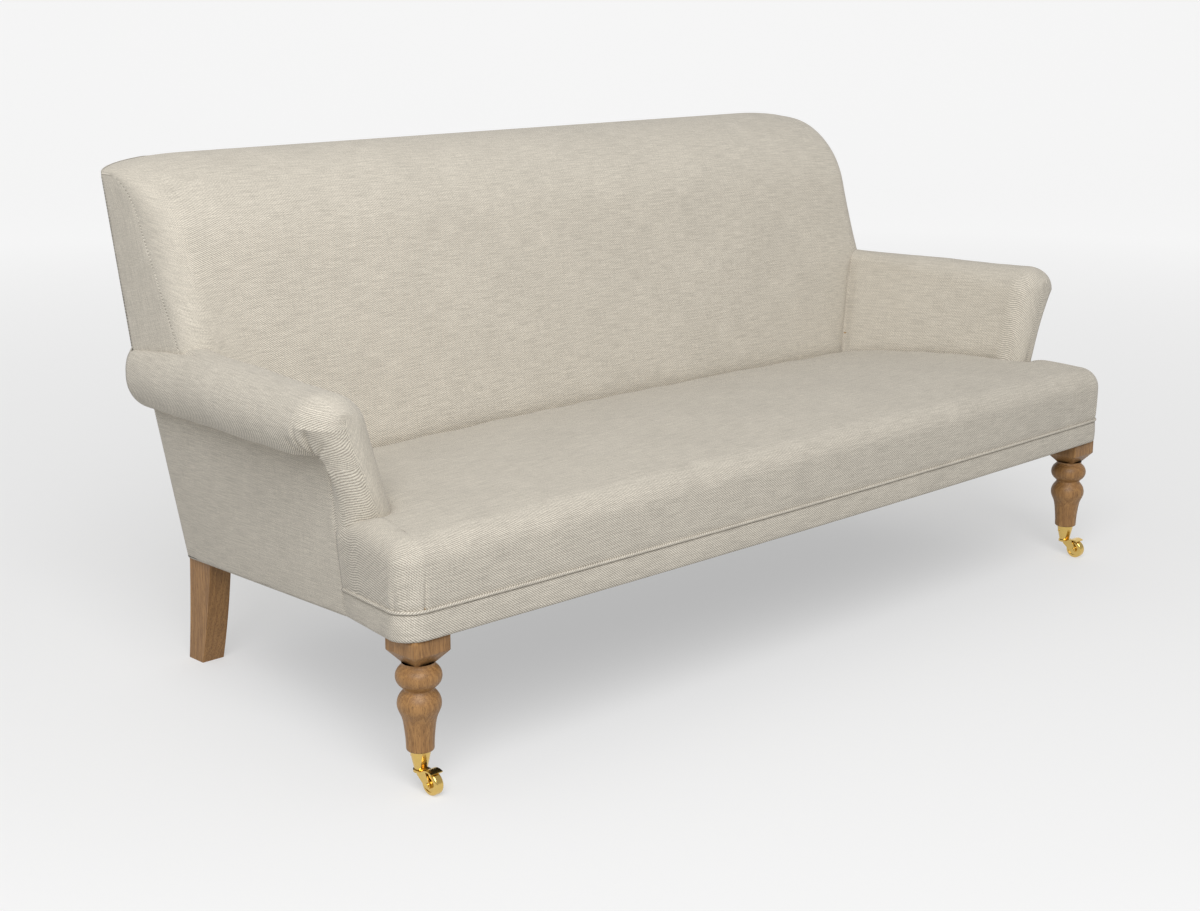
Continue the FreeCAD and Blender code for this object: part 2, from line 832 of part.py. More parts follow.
def build_frame():
    parts = {}
    inner_plan = within_plan(cloth + fit)
    post_inner = post_outer_x - post_thickness
    post = side_prism(post_outline(), post_inner, post_outer_x).common(above_base(rail_lift))

    front = inner_plan.cut(within_plan(cloth + fit + rail_thickness))
    front_span = side_rail_x(leg_y)
    front_y = base_front_y - front_bow
    rail_back_y = base_front_y + cloth + fit + rail_thickness
    rail_depth = rail_height - rail_lift
    front_block = pitched_box(-front_span, front_span, front_y, rail_back_y, rail_lift, rail_depth)
    parts["front_rail"] = front.common(front_block)

    back_span = pitched_box(-post_inner, post_inner, back_rail_y, back_rail_y + rail_thickness,
                            rail_lift, rail_height - rail_lift)
    parts["back_rail"] = back_span

    corners = [(rail_back_y, 1), (post_front_y, 1), (post_front_y, 0), (rail_back_y, 0)]
    outline = []
    for y, outer in corners:
        x = side_rail_x(y) - (0.0 if outer else rail_thickness)
        outline.append(Vector(x, y, 0.0))
    column = prism(outline, Vector(0, 0, FAR))
    side_rail = column.common(above_base(rail_lift, rail_height - rail_lift))

    arm_post = ruled([
        wire_of([Vector(x, y, arm_post_foot) for x, y in arm_post_base()]),
        wire_of([Vector(x, y, arm_post_top) for x, y in arm_post_head()]),
    ]).common(above_base(rail_height))

    top_rail = quad_beam(
        (arm_post_front_y, front_roll_x - arm_rail_inner, front_roll_x + arm_rail_outer,
         arm_post_top, arm_post_top + arm_rail_height),
        (arm_rail_rear_y, post_outer_x, post_outer_x + arm_rail_width,
         arm_post_top - arm_rail_drop, arm_post_top - arm_rail_drop + arm_rail_height),
    )

    arm_post = arm_post.cut(top_rail)
    top_z = frame_top_height - back_rail_height
    low_z = post_face_height
    back_low = raked_rail(low_z, low_z + back_rail_height, rail_thickness, -post_inner, post_inner)

    face_near = face_x_at(arm_post_rear_y, lower_rail_height)
    face_far = face_x_at(lower_rail_rear_y, lower_rail_height)
    lower_rail = quad_beam(
        (arm_post_rear_y, face_near, face_near + lower_rail_thickness,
         lower_rail_height, lower_rail_height + lower_rail_depth),
        (lower_rail_rear_y, face_far, face_far + lower_rail_thickness,
         lower_rail_height, lower_rail_height + lower_rail_depth),
    ).cut(post).cut(back_low)

    singles = {
        "side_rail": side_rail,
        "back_post": post,
        "arm_post": arm_post,
        "arm_top_rail": top_rail,
        "arm_lower_rail": lower_rail,
    }
    for name, shape in singles.items():
        for side, piece in pair(shape).items():
            parts[side + "_" + name] = piece

    parts["back_top_rail"] = raked_rail(top_z, frame_top_height, rail_thickness, -post_inner, post_inner)
    parts["back_lower_rail"] = back_low
    uprights = []
    for x in (-upright_x, upright_x):
        half = rail_thickness / 2
        uprights.append(raked_rail(low_z + back_rail_height, top_z, rail_thickness, x - half, x + half))
    parts["back_uprights"] = Part.makeCompound(uprights)

    braces = []
    for x in (-upright_x, upright_x):
        half = rail_thickness / 2
        braces.append(pitched_box(x - half, x + half, rail_back_y, back_rail_y, rail_lift, brace_height))
    parts["seat_braces"] = Part.makeCompound(braces)

    blocks = []
    for y_near, y_far, x_outer in (
        (rail_back_y, rail_back_y + corner_block, None),
        (back_rail_y - corner_block, back_rail_y, post_inner),
    ):
        outer = x_outer or side_rail_x(y_far) - rail_thickness
        block = pitched_box(outer - corner_block, outer, y_near, y_far, rail_lift, brace_height)
        blocks.extend([block, mirrored(block)])
    parts["corner_blocks"] = Part.makeCompound(blocks)
    return parts


def face_x_at(y, z):
    """Back of the arm's inside padding at a depth y and height z."""
    size = arm_sizes(y)
    stretch = math.sqrt(1 + size["inside_lean"] ** 2)
    face = size["inside_x"] + size["inside_lean"] * (z - inside_height)
    return face + (cloth + arm_pad_thickness) * stretch


def arm_post_base():
    outer = side_rail_x(arm_post_rear_y)
    inner = outer - arm_post_width
    front, rear = arm_post_front_y, arm_post_rear_y
    return [(inner, front), (outer, front), (outer, rear), (inner, rear)]


def arm_post_head():
    inner = face_x_at(seam_y, arm_post_top)
    outer = inner + arm_post_width
    front, rear = arm_post_front_y, arm_post_rear_y
    return [(inner, front), (outer, front), (outer, rear), (inner, rear)]


# Legs

def turned_profile():
    """Outline of the front leg below its square block, as (radius, height) spots."""
    return [
        ("line", (neck_radius, block_foot - block_bevel)),
        ("line", (25.0, 201.5)),
        ("arc", (35.7, 184.0), (27.2, 167.0)),
        ("line", (23.6, 162.6)),
        ("arc", (34.4, 143.0), (29.0, 124.0)),
        ("arc", (23.8, 100.0), (21.8, 77.5)),
        ("line", (21.7, 69.6)),
        ("line", (20.4, leg_end_height)),
    ]


def front_leg(plan):
    """Turned leg with a square block, bevelled below and seated under the rails."""
    steps = turned_profile()
    here = Vector(0, 0, block_foot - block_bevel)
    edges = []
    for step in steps:
        spots = [Vector(r, 0, z) for r, z in step[1:]]
        if step[0] == "line":
            edges.append(line(here, spots[0]))
        else:
            edges.append(arc(here, spots[0], spots[1]))
        here = spots[-1]
    end = Vector(spigot_radius, 0, leg_end_height)
    tip = Vector(spigot_radius, 0, spigot_foot)
    axis_low = Vector(0, 0, spigot_foot)
    axis_top = Vector(0, 0, block_foot - block_bevel)
    for a, b in ((here, end), (end, tip), (tip, axis_low), (axis_low, axis_top)):
        edges.append(line(a, b))
    turned = Part.Face(Part.Wire(edges)).revolve(Vector(0, 0, 0), Vector(0, 0, 1), 360)
    half = block_width / 2
    square = [Vector(-half, -half, 0), Vector(half, -half, 0), Vector(half, half, 0), Vector(-half, half, 0)]
    narrow = neck_radius / half / math.sqrt(2)
    low = [v * narrow + Vector(0, 0, block_foot - block_bevel) for v in square]
    mid = [v + Vector(0, 0, block_foot) for v in square]
    bevel = ruled([wire_of(low), wire_of(mid)])
    block = prism(mid, Vector(0, 0, base_front_height + rail_lift - block_foot + block_spare))
    leg = turned.fuse([bevel, block])
    leg.translate(Vector(leg_x, leg_y, 0))
    below = leg.cut(above_base(0.0))
    seated = leg.common(above_base(0.0, rail_lift)).common(plan)
    return below.fuse(seated).removeSplitter()


def rear_leg(plan):
    """Sawn leg that rakes back and tapers to the floor."""
    top_z = base_z(rear_top_front_y) + rail_lift + rear_leg_spare
    rear_top_z = base_z(rear_top_rear_y) + rail_lift + rear_leg_spare
    x = rear_leg_outer_x - rear_leg_width
    edges = [
        arc(Vector(x, rear_foot_front_y, 0), Vector(x, rear_mid_front_y, rear_mid_height),
            Vector(x, rear_top_front_y, top_z)),
        line(Vector(x, rear_top_front_y, top_z), Vector(x, rear_top_rear_y, rear_top_z)),
        arc(Vector(x, rear_top_rear_y, rear_top_z), Vector(x, rear_mid_rear_y, rear_mid_height),
            Vector(x, rear_foot_rear_y, 0)),
        line(Vector(x, rear_foot_rear_y, 0), Vector(x, rear_foot_front_y, 0)),
    ]
    leg = Part.Face(Part.Wire(edges)).extrude(Vector(rear_leg_width, 0, 0))
    below = leg.cut(above_base(0.0))
    seated = leg.common(above_base(0.0, rail_lift)).common(plan)
    return below.fuse(seated).removeSplitter()


def bolts():
    """Hanger bolts that hold the legs to the rails and posts."""
    shapes = []
    rear_x = post_outer_x - post_thickness / 2
    spots = [(leg_x, leg_y)] + [(rear_x, post_front_y + offset) for offset in rear_bolt_offsets]
    for x, y in spots:
        foot = base_z(y) + rail_lift - bolt_length / 2
        bolt = Part.makeCylinder(bolt_radius, bolt_length, Vector(x, y, foot))
        shapes.extend([bolt, mirrored(bolt)])
    return shapes


# Castors

def castor():
    """Pieces of the right castor: cup, pin, horn, wheel and axle."""
    axis = Vector(leg_x, leg_y, 0)
    hub = Vector(leg_x, leg_y - wheel_trail, wheel_radius)
    half = wheel_width / 2

    cup_start = axis + Vector(0, 0, cup_foot)
    cup = Part.makeCone(cup_foot_radius, cup_top_radius, leg_end_height - cup_foot, cup_start)
    hollow_foot = cup_foot + cup_floor
    hollow = Part.makeCylinder(spigot_radius, leg_end_height - hollow_foot, axis + Vector(0, 0, hollow_foot))
    bore = Part.makeCylinder(pin_radius + running_fit, cup_floor, axis + Vector(0, 0, cup_foot))
    cup = cup.cut(hollow).cut(bore)

    pin = Part.makeCylinder(pin_radius, hollow_foot + fit - boss_foot, axis + Vector(0, 0, boss_foot))
    pin = pin.fuse(Part.makeCylinder(pin_head_radius, pin_head, axis + Vector(0, 0, hollow_foot + fit)))

    boss_height = cup_foot - fit - boss_foot
    boss = Part.makeCylinder(boss_radius, boss_height, axis + Vector(0, 0, boss_foot))
    inside = half + cheek_gap
    outside = inside + cheek_thickness
    hood_inner = wheel_radius + hood_gap
    hood_outer = hood_inner + hood_thickness
    across = Vector(1, 0, 0)
    hood = Part.makeCylinder(hood_outer, 2 * outside, hub - across * outside, across)
    hood = hood.cut(Part.makeCylinder(hood_inner, 2 * outside, hub - across * outside, across))
    keep = side_prism([
        (hub.y, hub.z),
        (hub.y + hood_outer * 2 * math.cos(hood_start), hub.z + hood_outer * 2 * math.sin(hood_start)),
        (hub.y + hood_outer * 2 * math.cos(hood_end), hub.z + hood_outer * 2 * math.sin(hood_end)),
    ], leg_x - outside, leg_x + outside)
    hood = hood.common(keep)
    web = side_prism([
        (leg_y - boss_radius + web_setback, boss_foot + boss_height),
        (hub.y + hood_outer * math.cos(hood_start), hub.z + hood_outer * math.sin(hood_start)),
        (hub.y + hood_inner * math.cos(hood_start), hub.z + hood_inner * math.sin(hood_start)),
        (leg_y - boss_radius + web_setback, boss_foot),
    ], leg_x - web_half_width, leg_x + web_half_width)
    cheek_outline = [
        (leg_y - cheek_rear_offset, boss_foot + boss_height),
        (leg_y - cheek_rear_offset, boss_foot - cheek_drop),
        (hub.y + eye_radius * math.sin(cheek_aim), hub.z - eye_radius * math.cos(cheek_aim)),
        (hub.y - eye_radius * math.cos(cheek_aim), hub.z + eye_radius * math.sin(cheek_aim)),
        (hub.y + cheek_peak_y, hub.z + hood_inner + cheek_peak_rise),
        (hub.y + hood_outer * math.cos(hood_start), boss_foot + boss_height),
    ]
    cheeks = []
    for x_low in (leg_x + inside, leg_x - outside):
        cheeks.append(side_prism(cheek_outline, x_low, x_low + cheek_thickness))
        cheeks.append(Part.makeCylinder(eye_radius, cheek_thickness, Vector(x_low, hub.y, hub.z), across))
    horn = boss.fuse([hood, web] + cheeks)
    horn = horn.cut(Part.makeCylinder(pin_radius, boss_height, axis + Vector(0, 0, boss_foot)))
    eye_bore = Part.makeCylinder(axle_radius, 2 * outside, hub - across * outside, across)
    horn = horn.cut(eye_bore).removeSplitter()

    wheel = Part.makeCylinder(wheel_radius, wheel_width, hub - across * half, across)
    rims = [e for e in wheel.Edges if abs(e.Length - 2 * math.pi * wheel_radius) < length_tolerance]
    wheel = wheel.makeFillet(wheel_crown, rims)
    recess_start = hub + across * (half - recess_depth)
    recess = Part.makeCylinder(wheel_radius - wheel_rim, recess_depth, recess_start, across)
    recess = recess.cut(Part.makeCylinder(axle_head_radius + hub_lip, recess_depth, recess_start, across))
    wheel = wheel.cut(recess)
    recess.translate(across * (recess_depth - wheel_width))
    wheel = wheel.cut(recess)
    wheel = wheel.cut(Part.makeCylinder(axle_radius + running_fit, wheel_width, hub - across * half, across))

    axle = Part.makeCylinder(axle_radius, 2 * outside, hub - across * outside, across)
    for x in (outside, -outside - axle_head):
        axle = axle.fuse(Part.makeCylinder(axle_head_radius, axle_head, hub + across * x, across))
    return {
        "castor_cup": cup,
        "castor_pin": pin,
        "castor_horn": horn,
        "castor_wheel": wheel,
        "castor_axle": axle,
    }


def cup_screws():
    """Two wood screws through the hidden sides of the right cup into the leg's spigot."""
    shapes = []
    height = blend(cup_foot, leg_end_height, screw_height_share)
    face = blend(cup_foot_radius, cup_top_radius, screw_height_share)
    for aim in screw_aims:
        way = Vector(math.cos(aim), math.sin(aim), 0)
        start = Vector(leg_x, leg_y, height) + way * (face - screw_length)
        shank = Part.makeCylinder(screw_radius, screw_length, start, way)
        seat = Vector(leg_x, leg_y, height) + way * (face - screw_head_sink)
        head = Part.makeCylinder(screw_head_radius, screw_head, seat, way)
        shapes.append(shank.fuse(head))
    return shapes


# Springs

def spring_wire():
    """One sinuous seat spring, lying in the plane of the rails, at x = 0."""
    stretch = math.sqrt(1 + base_slope ** 2)
    pitch = (spring_rear_y - spring_front_y) * stretch / spring_loops
    bend = pitch / 2
    half = spring_straight / 2
    edges = []
    for step in range(spring_loops + 1):
        side = 1 if step % 2 == 0 else -1
        v = step * pitch
        edges.append(line(Vector(-side * half, v, 0), Vector(side * half, v, 0)))
        if step < spring_loops:
            middle = Vector(side * (half + bend), v + bend, 0)
            lead = Vector(side * (half + bend * math.sqrt(0.5)), v + bend - bend * math.sqrt(0.5), 0)
            trail = Vector(side * (half + bend * math.sqrt(0.5)), v + bend + bend * math.sqrt(0.5), 0)
            edges.append(arc(Vector(side * half, v, 0), lead, middle))
            edges.append(arc(middle, trail, Vector(side * half, v + pitch, 0)))
    path = Part.Wire(edges)
    ring = Part.Wire(Part.makeCircle(spring_wire_radius, Vector(-half, 0, 0), Vector(1, 0, 0)))
    wire = path.makePipeShell([ring], True, False)
    wire.rotate(Vector(0, 0, 0), Vector(1, 0, 0), -math.degrees(math.atan(base_slope)))
    lift = rail_height + fit + spring_wire_radius * stretch
    wire.translate(Vector(0, spring_front_y, base_z(spring_front_y) + lift))
    return wire


def build_springs():
    """Seat springs and the clips that hold their ends to the rails."""
    wire = spring_wire()
    clip_height = seat_pad_lift - hessian_thickness - rail_height
    half = clip_width / 2
    reach = clip_length / 2
    clip_pair = []
    for y in (spring_front_y, spring_rear_y):
        clip_pair.append(pitched_box(-half, half, y - reach, y + reach, rail_height, clip_height).cut(wire))
    springs = []
    clips = []
    for step in range(spring_count):
        x = (step - (spring_count - 1) / 2) * spring_spacing
        springs.append(wire.translated(Vector(x, 0, 0)))
        for clip in clip_pair:
            clips.append(clip.translated(Vector(x, 0, 0)))
    return {"seat_springs": Part.makeCompound(springs), "spring_clips": Part.makeCompound(clips)}


def build_all():
    """Every piece of the sofa, by name."""
    frame = build_frame()
    plan = within_plan(cloth + fit)
    bolt_set = bolts()
    frame.update({side + "_front_leg": leg for side, leg in pair(front_leg(plan)).items()})
    frame.update({side + "_rear_leg": leg for side, leg in pair(rear_leg(plan)).items()})
    screw_set = cup_screws()
    fittings = castor()
    for name in list(frame):
        for bolt in bolt_set:
            if frame[name].BoundBox.intersect(bolt.BoundBox):
                frame[name] = frame[name].cut(bolt)
    for screw in screw_set:
        fittings["castor_cup"] = fittings["castor_cup"].cut(screw)
        frame["right_front_leg"] = frame["right_front_leg"].cut(screw)
    frame["left_front_leg"] = mirrored(frame["right_front_leg"])

    arm = arm_form(0.0, 0.0)
    arms = arm.fuse(mirrored(arm))
    back = back_form(0.0)
    parts = dict(frame)
    parts.update(build_springs())
    parts.update(build_pads(arms, back, frame))
    parts.update(build_covers(arms, back, frame))
    for name, shape in fittings.items():
        for side, piece in pair(shape).items():
            parts[side + "_" + name] = piece
    parts["castor_screws"] = Part.makeCompound(screw_set + [mirrored(s) for s in screw_set])
    parts["leg_bolts"] = Part.makeCompound(bolt_set)
    return parts


if __name__ == "__main__":
    os.makedirs("parts", exist_ok=True)
    for node, solid in build_all().items():
        solid.exportStep("parts/" + node + ".step")
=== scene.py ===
import json
import math
from types import SimpleNamespace

import bmesh
import bpy
import numpy as np
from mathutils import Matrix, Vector, noise


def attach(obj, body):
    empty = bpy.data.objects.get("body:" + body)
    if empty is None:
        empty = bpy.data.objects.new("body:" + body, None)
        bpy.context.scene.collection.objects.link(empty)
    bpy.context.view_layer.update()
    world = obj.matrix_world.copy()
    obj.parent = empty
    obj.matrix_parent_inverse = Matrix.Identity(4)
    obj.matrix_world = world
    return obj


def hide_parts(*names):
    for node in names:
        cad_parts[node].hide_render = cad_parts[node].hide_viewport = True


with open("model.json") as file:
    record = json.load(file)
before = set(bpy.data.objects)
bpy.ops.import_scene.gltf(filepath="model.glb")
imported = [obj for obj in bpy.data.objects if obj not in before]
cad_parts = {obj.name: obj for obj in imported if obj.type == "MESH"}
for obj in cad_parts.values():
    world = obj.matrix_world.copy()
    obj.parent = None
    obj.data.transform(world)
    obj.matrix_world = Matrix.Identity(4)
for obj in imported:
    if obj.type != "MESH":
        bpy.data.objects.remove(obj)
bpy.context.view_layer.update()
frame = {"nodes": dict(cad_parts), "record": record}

MM = 0.001
LEFTWARD = (-1.0, 0.0, 0.0)
RIGHTWARD = (1.0, 0.0, 0.0)
FORWARD = (0.0, -1.0, 0.0)
UPWARD = (0.0, 0.0, 1.0)

# Sizes in millimetres in the part's own frame: X to the right, Y to the rear, Z up from the floor

# Underside of the base, as (y, z) at its front and rear
base_front = (-430.0, 250.6)
base_rear = (343.0, 194.6)
base_slope = (base_front[1] - base_rear[1]) / (base_rear[0] - base_front[0])

# Stations along each arm, from the side seam at its nose to the rear
seam_y = -222.0
arm_mid_y = 140.0
arm_rear_y = 372.0

# Inner face of the right arm: its x at face_z at the three stations, and its lean at the first two
arm_inside = (820.0, 761.6, 732.0)
arm_lean = (0.266, 0.459)
face_z = 400.0
knee_z = 365.0

# Section of the right arm at the side seam and at the rear
arm_top = (598.0, 599.0)
arm_roll_x = (930.0, 846.0)
arm_roll_radius = (52.0, 65.0)
panel_x = (889.0, 820.0)
panel_lean = (0.105, 0.156)

# Nose of the arm, an ellipse in plan ahead of the side seam
nose_x = 863.0
nose_half_width = 42.0
nose_reach = 57.0

# Front outline of the seat
front_half_width = 891.0
corner_radius = 40.0
front_bow = 13.0

# Middle line of the seat's top as (y, z), and how far it falls towards its sides
seat_line = ((-430.0, 414.0), (-245.0, 425.0), (131.0, 398.0))
seat_fall = 12.0
seat_fall_x = 931.0

# Back at its middle and at its rounded ends
back_face = (186.0, 220.0)
back_rake = (0.265, 0.5)
back_roll_radius = (200.0, 112.0)
back_top = (900.0, 875.0)
back_face_z = 600.0
crest_start_x = 730.0
bulge_start_x = 842.0
back_half_width = 891.0

# Rear face: raked above its bend, and stepped in below it
rear_bend_y = 363.0
rear_bend_z = 540.0
rear_rake = 0.231
rear_step = 20.0
rear_cloth_setback = 2.2

# Front border and the piping over it, from the underside of the base
border_height = 44.3
border_inner = 14.0
piping_lift = 47.0
piping_radius = 2.7

# Axes of the front legs
leg_x = 880.5
leg_y = -387.0

# Height from which the arm rolls widen the rear cloth
rear_roll_z = 480.0

# Angle round the roll, in radians, from which its underside is gathered
draw_aim = 0.15

# Where the arms start to follow the raked rear face, and where tucks fade out under the arms' tops
rear_blend_y = 250.0
tuck_fade_z = 600.0
tuck_fade = 60.0

# Mesh cleaning, in metres
merge_distance = 0.00003
least_edge = 0.00001

# Points along the outline: straight side, corner, and half of the front
side_points = 26
corner_points = 40
half_front_points = 120

# Points round the arm's section, from its inner foot over the roll to its outer foot
foot_points, face_points, shoulder_points, flat_points, roll_points, panel_points = 10, 30, 26, 4, 84, 22
roll_first = foot_points + face_points + shoulder_points + flat_points
roll_last = roll_first + roll_points

# Rows along the arm: its length, the gathered stretch behind the seam, and the nose
arm_rows = 66
gather_rows = 30
nose_rows = 60
seam_row = arm_rows + gather_rows - 1

# Points up the back's face and over its roll
back_face_points = 60
back_roll_points = 40


# Shared geometry

def base_z(y):
    """Height of the underside of the base."""
    return base_front[1] - base_slope * (y - base_front[0])


def rear_y(z):
    """Rear face of the back at a height."""
    z = np.asarray(z, float)
    upper = rear_bend_y + rear_rake * (z - rear_bend_z)
    lower = rear_bend_y - rear_step / (rear_bend_z - base_rear[1]) * (rear_bend_z - z)
    return np.where(z > rear_bend_z, upper, lower)


def mix(a, b, t):
    return a + (b - a) * t


def smoothstep(t):
    """Smooth rise from 0 at 0 to 1 at 1."""
    t = np.clip(t, 0.0, 1.0)
    return t * t * (3.0 - 2.0 * t)


def bell(d, width):
    """Bump of height 1 around a distance of zero."""
    return np.exp(-((d / width) ** 2))


def curve(a, b, c, t):
    """Quadratic curve from a to c, steered by b."""
    return (1 - t) ** 2 * a + 2 * t * (1 - t) * b + t ** 2 * c


def tuck_in(gap, wide, close):
    """Pull towards a seam at gap zero, from a wide and a close pair of (depth, width)."""
    near = np.maximum(gap, 0.0)
    return wide[0] * bell(near, wide[1]) + close[0] * bell(near, close[1])


def swell_out(edge, wide, close):
    """Rise away from an edge, from a wide and a close pair of (height, width)."""
    return wide[0] * (1 - np.exp(-edge / wide[1])) + close[0] * (1 - np.exp(-edge / close[1]))


def wobble(points, size, seed):
    """Soft noise, about -1 to 1, at each point of a grid."""
    gain = 1.6
    shift = Vector((seed * 17.3, seed * 5.1, seed * 9.7))
    values = [noise.noise(Vector(p) / size + shift) for p in points.reshape(-1, 3)]
    return np.array(values).reshape(points.shape[:-1]) * gain


def softness(points, *layers):
    """Sum of soft noises, each given as (depth, size, seed)."""
    return sum(depth * wobble(points, size, seed) for depth, size, seed in layers)


def normals_facing(p, sample, way):
    """Unit normals of a grid, on the side that faces a way at a sample (row, column)."""
    n = np.cross(np.gradient(p, axis=0), np.gradient(p, axis=1))
    n = n / (np.linalg.norm(n, axis=-1, keepdims=True) + 1e-12)
    return -n if np.dot(n[sample], way) < 0 else n


def lengths_along(p, axis):
    """Distance travelled from a grid's first row or column, along its points."""
    step = np.linalg.norm(np.diff(p, axis=axis), axis=-1)
    zero = np.zeros_like(np.take(step, [0], axis=axis))
    return np.concatenate([zero, np.cumsum(step, axis=axis)], axis=axis)


def grid_uv(p):
    """Real lengths over the grid, in metres, measured from its middle lines."""
    rows = lengths_along(p, 0)
    cols = lengths_along(p, 1)
    middle_row = p.shape[0] // 2
    middle_col = p.shape[1] // 2
    u = cols - cols[:, middle_col:middle_col + 1]
    v = rows - rows[middle_row:middle_row + 1, :]
    return np.stack([u, v], axis=-1) * MM


def with_uvs(*grids):
    """Patches for mesh_from, each grid with its real lengths."""
    return [(p, grid_uv(p)) for p in grids]


def turned_edge(p, shift):
    """Strip along the whole rim of a grid, turned in by a shift."""
    rim = np.concatenate([p[0], p[1:, -1], p[-1, ::-1][1:], p[::-1, 0][1:]])
    return np.array([rim, rim + np.array(shift)])


def distance_to_sides(p):
    """Distance from each point of a grid to the nearer end of its row."""
    across = lengths_along(p, 1)
    return np.minimum(across, across[:, -1:] - across)


def mirror_grid(p):
    return p * np.array([-1.0, 1.0, 1.0])


def mesh_from(name, patches, caps=()):
    """Mesh piece from grids of points with their own lengths as UVs, and end caps from rings."""
    bm = bmesh.new()
    uv_layer = bm.loops.layers.uv.new("weave")
    for points, uvs in patches:
        rows, cols = points.shape[:2]
        verts = [[bm.verts.new(points[i, j] * MM) for j in range(cols)] for i in range(rows)]
        for i in range(rows - 1):
            for j in range(cols - 1):
                corners = ((i, j), (i + 1, j), (i + 1, j + 1), (i, j + 1))
                face = bm.faces.new([verts[a][b] for a, b in corners])
                face.smooth = True
                for loop, (a, b) in zip(face.loops, corners):
                    loop[uv_layer].uv = uvs[a, b]
    for ring in caps:
        face = bm.faces.new([bm.verts.new(p * MM) for p in ring])
        face.smooth = True
        for loop, p in zip(face.loops, ring):
            loop[uv_layer].uv = (p[0] * MM, p[2] * MM)
    bmesh.ops.remove_doubles(bm, verts=bm.verts, dist=merge_distance)
    bmesh.ops.dissolve_degenerate(bm, edges=bm.edges, dist=least_edge)
    bmesh.ops.recalc_face_normals(bm, faces=bm.faces)
    mesh = bpy.data.meshes.new(name)
    bm.to_mesh(mesh)
    bm.free()
    obj = bpy.data.objects.new(name, mesh)
    bpy.context.scene.collection.objects.link(obj)
    return obj


# Seat

def front_outline(inset, lift):
    """Points of the front outline from the right side seam to the left one, at one inset."""
    seam_x = panel_x[0] + panel_lean[0] * lift - inset
    radius = corner_radius - inset
    corner_y = base_front[0] + corner_radius
    bow = (front_half_width ** 2 + front_bow ** 2) / (2 * front_bow)
    bow_y = base_front[0] - front_bow + bow
    aim = math.atan2(corner_y - bow_y, front_half_width)
    side_x = seam_x - front_half_width
    side_y = seam_y - corner_y
    tangent = math.atan2(side_y, side_x) - math.acos(radius / math.hypot(side_x, side_y))

    def on_corner(a):
        return np.stack([front_half_width + radius * np.cos(a), corner_y + radius * np.sin(a)], axis=-1)

    t = np.linspace(0, 1, side_points, endpoint=False)[:, None]
    side = mix(np.array([seam_x, seam_y]), on_corner(tangent), t)
    corner = on_corner(np.linspace(tangent, aim, corner_points, endpoint=False))
    a = np.linspace(aim, -math.pi / 2, half_front_points + 1)
    front = np.stack([(bow - inset) * np.cos(a), bow_y + (bow - inset) * np.sin(a)], axis=-1)
    right = np.concatenate([side, corner, front])
    left = right[:-1][::-1] * np.array([-1.0, 1.0])
    return np.concatenate([right, left])


def seat_top(x, y):
    """Height of the crowned seat at a point of its plan, before it tucks in."""
    x = np.asarray(x, float)
    y = np.asarray(y, float)
    (y0, z0), (y1, z1), (y2, z2) = seat_line
    a = ((z2 - z0) / (y2 - y0) - (z1 - z0) / (y1 - y0)) / (y2 - y1)
    b = (z1 - z0) / (y1 - y0) - a * (y1 + y0)
    c = z0 - b * y0 - a * y0 * y0
    return a * y * y + b * y + c - seat_fall * (x / seat_fall_x) ** 2


def arm_face(y):
    """Place and lean of the right arm's inner face at a station."""
    y = np.asarray(y, float)
    front = np.clip((y - seam_y) / (arm_mid_y - seam_y), 0, 1)
    rear = np.clip((y - arm_mid_y) / (arm_rear_y - arm_mid_y), 0, 1)
    inside = mix(mix(arm_inside[0], arm_inside[1], front), arm_inside[2], rear)
    return inside, mix(arm_lean[0], arm_lean[1], front)


def arm_face_x(y, z):
    """Inner face of the right arm at a point of its side view."""
    inside, lean = arm_face(y)
    return inside + lean * (np.maximum(z, knee_z) - face_z)


def back_face_y(z):
    """Front face of the back, below its roll."""
    return back_face[0] + back_rake[0] * (z - back_face_z)


def gap_to_arm(x, y, z):
    """How far a point of the seat is from the arm, in plan, and less than zero inside it."""
    nose_scale = 45.0
    face = arm_face_x(y, z) - np.abs(x)
    across = (np.abs(x) - nose_x) / nose_half_width
    ahead = (seam_y - y) / nose_reach
    nose = (np.sqrt(across ** 2 + np.maximum(ahead, 0.0) ** 2) - 1.0) * nose_scale
    return np.where(y > seam_y, face, nose)


def on_outline(flat, z):
    """Points of an outline in plan, raised to their heights."""
    return np.concatenate([flat, z[:, None]], axis=1)


